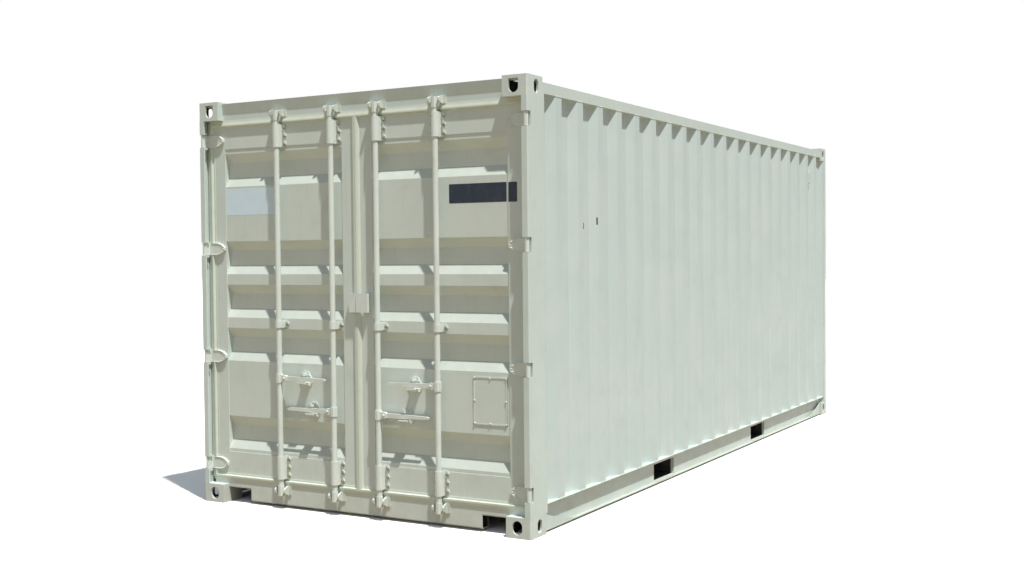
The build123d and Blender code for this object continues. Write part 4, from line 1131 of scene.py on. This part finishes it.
@dataclass
class Leaves:
    """The sheets and frames of the two doors, with hinge rivets, welds, a bare data plate and bare film."""

    # The doors' up-facing slopes take a neutral grey: painted shade more than grime.
    skin: SprayedEnamel = SprayedEnamel("enamel_on_door_sheet", base="d3ded9", faded="d8e1dc", soil=0.09,
                                        streaks=0.10, dent_mm=1.6, ledge_dust_and_shade=0.56, ledge="9a9b90")
    rubber: PaintedRubber = PaintedRubber()
    pale_film: CastVinyl = CastVinyl("pale_blue_vinyl", "ddf0ff", streak=0.05)
    dark_film: CastVinyl = CastVinyl("dark_vinyl", "1f2835", "6f7478", 0.12)
    bead: WeldBead = field(default_factory=lambda: WeldBead(3.2, 16.0, 5))
    panel_mm: Box = (112.0, 1055.0, 326.0, 2290.0)
    recess_levels_mm: tuple[float, ...] = (456.0, 1028.0, 1308.0, 1588.0, 2152.0)
    recess_half_mm: float = 106.5
    blade_depth_mm: float = 50.5
    blade_rim_mm: tuple[Pair, ...] = ((1172.0, 36.5), (1121.0, 36.5), (1086.0, 26.0), (1063.5, 8.5))
    blade_rivets_mm: tuple[Pair, ...] = ((1082.0, 17.0), (1073.0, 0.0), (1082.0, -17.0))
    plate_mm: Box = (-1036.0, -812.0, 617.0, 893.0)
    plate_rim_mm: float = 7.0

    def dress(self, nodes: dict[str, Thing]) -> Material:
        """Give the doors' own sheets and frames their finish.

        Args:
            nodes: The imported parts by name.

        Returns:
            The finish.
        """
        enamel = self.skin.make()
        for leaf in Leaf:
            for part in ("door_frame", "door_panel"):
                dress_node(nodes[f"{leaf.side}_{part}"], enamel)
        return enamel

    def lips(self, nodes: dict[str, Thing]) -> None:
        """Put the rubber round both leaves.

        Args:
            nodes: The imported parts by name.
        """
        rubber = self.rubber.make()
        for leaf in Leaf:
            dress_node(nodes[f"{leaf.side}_door_gasket"], rubber)
            DoorLip(leaf).build(rubber)

    def hinge_rims(self, leaf: Leaf, enamel: Material) -> None:
        """Run the rounded rim round each hinge blade.

        Args:
            leaf: The leaf.
            enamel: The finish.
        """
        piece = Piece(f"{leaf.side}_hinge_rims", leaf.body, "gear_paint", enamel)
        outline = self.blade_rim_mm + tuple((y, -rise) for y, rise in reversed(self.blade_rim_mm))
        rim = WeldBead(4.0, 22.0, 6)
        for level in HINGE_LEVELS:
            rim.along(piece, [leaf.point(self.blade_depth_mm, y, level + rise) for y, rise in outline])
        piece.finish(60.0)

    def hinge_rivets(self, leaf: Leaf, enamel: Material) -> None:
        """Set three rivet heads at the tip of each hinge blade.

        Args:
            leaf: The leaf.
            enamel: The finish.
        """
        piece = Piece(f"{leaf.side}_hinge_rivets", leaf.body, "gear_paint", enamel)
        piece.add(DomeRivet(6.5, 4.5).build(),
                  *(aim(leaf.point(self.blade_depth_mm, y, level + rise), Axis.DOORWARD)
                    for level in HINGE_LEVELS for y, rise in self.blade_rivets_mm))
        piece.finish()

    def sheet_welds(self, leaf: Leaf, enamel: Material) -> None:
        """Weld one door's sheet into its frame.

        Args:
            leaf: The leaf.
            enamel: The finish that covers the welds.
        """
        piece = Piece(f"{leaf.side}_sheet_welds", leaf.body, "door_paint", enamel)
        deep = SHEET_DEPTH - 1.0
        inner, outer, low, high = self.panel_mm
        for z in (low, high):
            self.bead.between(piece, leaf.point(deep, inner, z), leaf.point(deep, outer, z))
        stops = [low]
        for level in self.recess_levels_mm:
            stops += [level - self.recess_half_mm, level + self.recess_half_mm]
        stops.append(high)
        for y in (inner, outer):
            for first, last in zip(stops[::2], stops[1::2]):
                self.bead.between(piece, leaf.point(deep, y, first), leaf.point(deep, y, last))
        piece.finish(60.0)

    def data_plate(self, enamel: Material) -> None:
        """Rivet a bare plate low on the right door, painted over with the door.

        Args:
            enamel: The finish of the door.
        """
        y0, y1, z0, z1 = self.plate_mm
        y, z, half_wide, half_tall = (y0 + y1) / 2, (z0 + z1) / 2, (y1 - y0) / 2, (z1 - z0) / 2
        x, rim = DOOR_END + SHEET_DEPTH, self.plate_rim_mm
        piece = Piece("data_plate", Leaf.RIGHT.body, "door_paint", enamel)
        piece.add(ThinPlate(y1 - y0, z1 - z0, 1.8, 6.0).build(), at(x - 0.9, y, z))
        # The raised rim: a strip over and under, then one to each side.
        rise, aside = half_tall - rim / 2, half_wide - rim / 2
        for wide, tall, ways in ((y1 - y0, rim, ((0, 1), (0, -1))), (rim, z1 - z0, ((1, 0), (-1, 0)))):
            piece.add(ThinPlate(wide, tall, 4.5, 1.0).build(),
                      *(at(x - 2.0, y + across * aside, z + up * rise) for across, up in ways))
        spots = [(y + across * half_wide, z + up * half_tall) for across in (-0.94, 0.0, 0.94)
                 for up in (-0.95, 0.0, 0.95) if across or up]
        piece.add(DomeRivet(7.5, 6.5).build(), *(aim((x - 1.8, *spot), Axis.DOORWARD) for spot in spots))
        piece.finish()

    def films(self) -> None:
        """Stick bare film where the doors carry labels: one pale label, two dark fields."""
        pale, dark = self.pale_film.make(), self.dark_film.make()
        labels = (("pale_label", Leaf.LEFT, pale, SHEET_DEPTH, 632.0, 1050.0, 1862.0, 2032.0),
                  ("dark_field_long", Leaf.RIGHT, dark, SHEET_DEPTH, -1044.0, -659.0, 1891.0, 2002.0),
                  ("dark_field_short", Leaf.RIGHT, dark, LEAF_DEPTH, -1114.0, -1057.5, 1889.0, 2001.0))
        for name, leaf, material, depth, y0, y1, z0, z1 in labels:
            piece = Piece(name, leaf.body, "door_paint", material)
            piece.add(ThinPlate(y1 - y0, z1 - z0, 0.5, 5.0).build(),
                      at(DOOR_END + depth - 0.25, (y0 + y1) / 2, (z0 + z1) / 2))
            piece.finish()


@dataclass
class Studio:
    """The camera of the photograph, its sun and sky, and a plain floor."""

    eye: Point = (-8951.0, -4481.0, 1593.0)
    yaw: float = 29.647
    pitch: float = -1.577
    roll: float = -0.547
    focal_px: float = 1221.8
    sun_towards: Point = (-0.176, -0.329, 0.928)
    sun_colour: str = "fffdf6"
    sun_strength: float = 4.5
    sun_angle: float = 1.5
    sky: str = "e6f1ff"
    sky_strength: float = 0.46

    def camera(self) -> None:
        """Place the camera where the photograph was taken."""
        yaw, pitch, roll = (math.radians(a) for a in (self.yaw, self.pitch, self.roll))
        ahead = Vector((math.cos(yaw) * math.cos(pitch), math.sin(yaw) * math.cos(pitch), math.sin(pitch)))
        level = Vector((math.sin(yaw), -math.cos(yaw), 0.0))
        above = level.cross(ahead)
        right = math.cos(roll) * level + math.sin(roll) * above
        up = -math.sin(roll) * level + math.cos(roll) * above
        data = bpy.data.cameras.new("camera")
        data.sensor_width = 36.0
        data.lens = self.focal_px / FRAME_WIDTH_PX * data.sensor_width
        data.clip_end = 200.0
        camera = link("camera", data)
        camera.matrix_world = at(*self.eye) @ Matrix((right, up, -ahead)).transposed().to_4x4()
        bpy.context.scene.camera = camera

    def lights(self) -> None:
        """Hang the sun and the sky."""
        data = bpy.data.lights.new("sun", "SUN")
        data.energy = self.sun_strength
        data.angle = math.radians(self.sun_angle)
        data.color = linear(self.sun_colour)[:3]
        link("sun", data).rotation_euler = Vector(self.sun_towards).to_track_quat("Z", "Y").to_euler()
        world = bpy.data.worlds.new("sky")
        world.use_nodes = True
        tree = world.node_tree
        tree.nodes.clear()
        path = add_node(tree, "ShaderNodeLightPath")
        seen = times(tree, path.outputs["Is Camera Ray"], path.outputs["Is Transmission Ray"], "MAXIMUM")
        fill = add_node(tree, "ShaderNodeBackground",
                        {"Color": linear(self.sky), "Strength": self.sky_strength})
        back = add_node(tree, "ShaderNodeBackground", {"Color": (1, 1, 1, 1), "Strength": 1.0})
        mix = add_node(tree, "ShaderNodeMixShader", {0: seen, 1: fill.outputs[0], 2: back.outputs[0]})
        add_node(tree, "ShaderNodeOutputWorld", {"Surface": mix.outputs[0]})
        bpy.context.scene.world = world

    def floor(self) -> None:
        """Lay the floor."""
        mesh = bmesh.new()
        bmesh.ops.create_grid(mesh, x_segments=1, y_segments=1, size=60.0)
        data = bpy.data.meshes.new("floor_plane")
        mesh.to_mesh(data)
        mesh.free()
        data.materials.append(StudioGround().make())
        plane = link("floor_plane", data)
        plane.location.z = -0.001


def main(frame: dict) -> None:
    """Build the studio and dress the container.
    """
    logging.basicConfig(level=logging.INFO, format="%(name)s: %(message)s")
    bpy.context.scene.view_settings.view_transform = "Standard"
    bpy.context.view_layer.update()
    nodes = frame["nodes"]
    studio = Studio()
    studio.camera()
    studio.lights()
    studio.floor()
    shell = Shell()
    finishes = shell.dress(nodes)
    for sign in (-1, 1):
        shell.wall_welds(sign, finishes["walls"])
    shell.vent_hoods(finishes["walls"])
    shell.deck_screws(finishes["under"])
    shell.scars(RubbedScar().make())
    gear = LockingGear()
    gear_enamel = gear.dress(nodes)
    bolt_enamel = gear.worn.make()
    leaves = Leaves()
    door_enamel = leaves.dress(nodes)
    leaves.lips(nodes)
    for leaf in Leaf:
        gear.bearing_bolts(leaf, bolt_enamel)
        gear.catch_rivets(leaf, gear_enamel)
        leaves.hinge_rims(leaf, gear_enamel)
        leaves.hinge_rivets(leaf, gear_enamel)
        leaves.sheet_welds(leaf, door_enamel)
    gear.handle_pins(gear_enamel)
    leaves.data_plate(door_enamel)
    leaves.films()


if __name__ == "__main__":
    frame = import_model()
    main(frame)
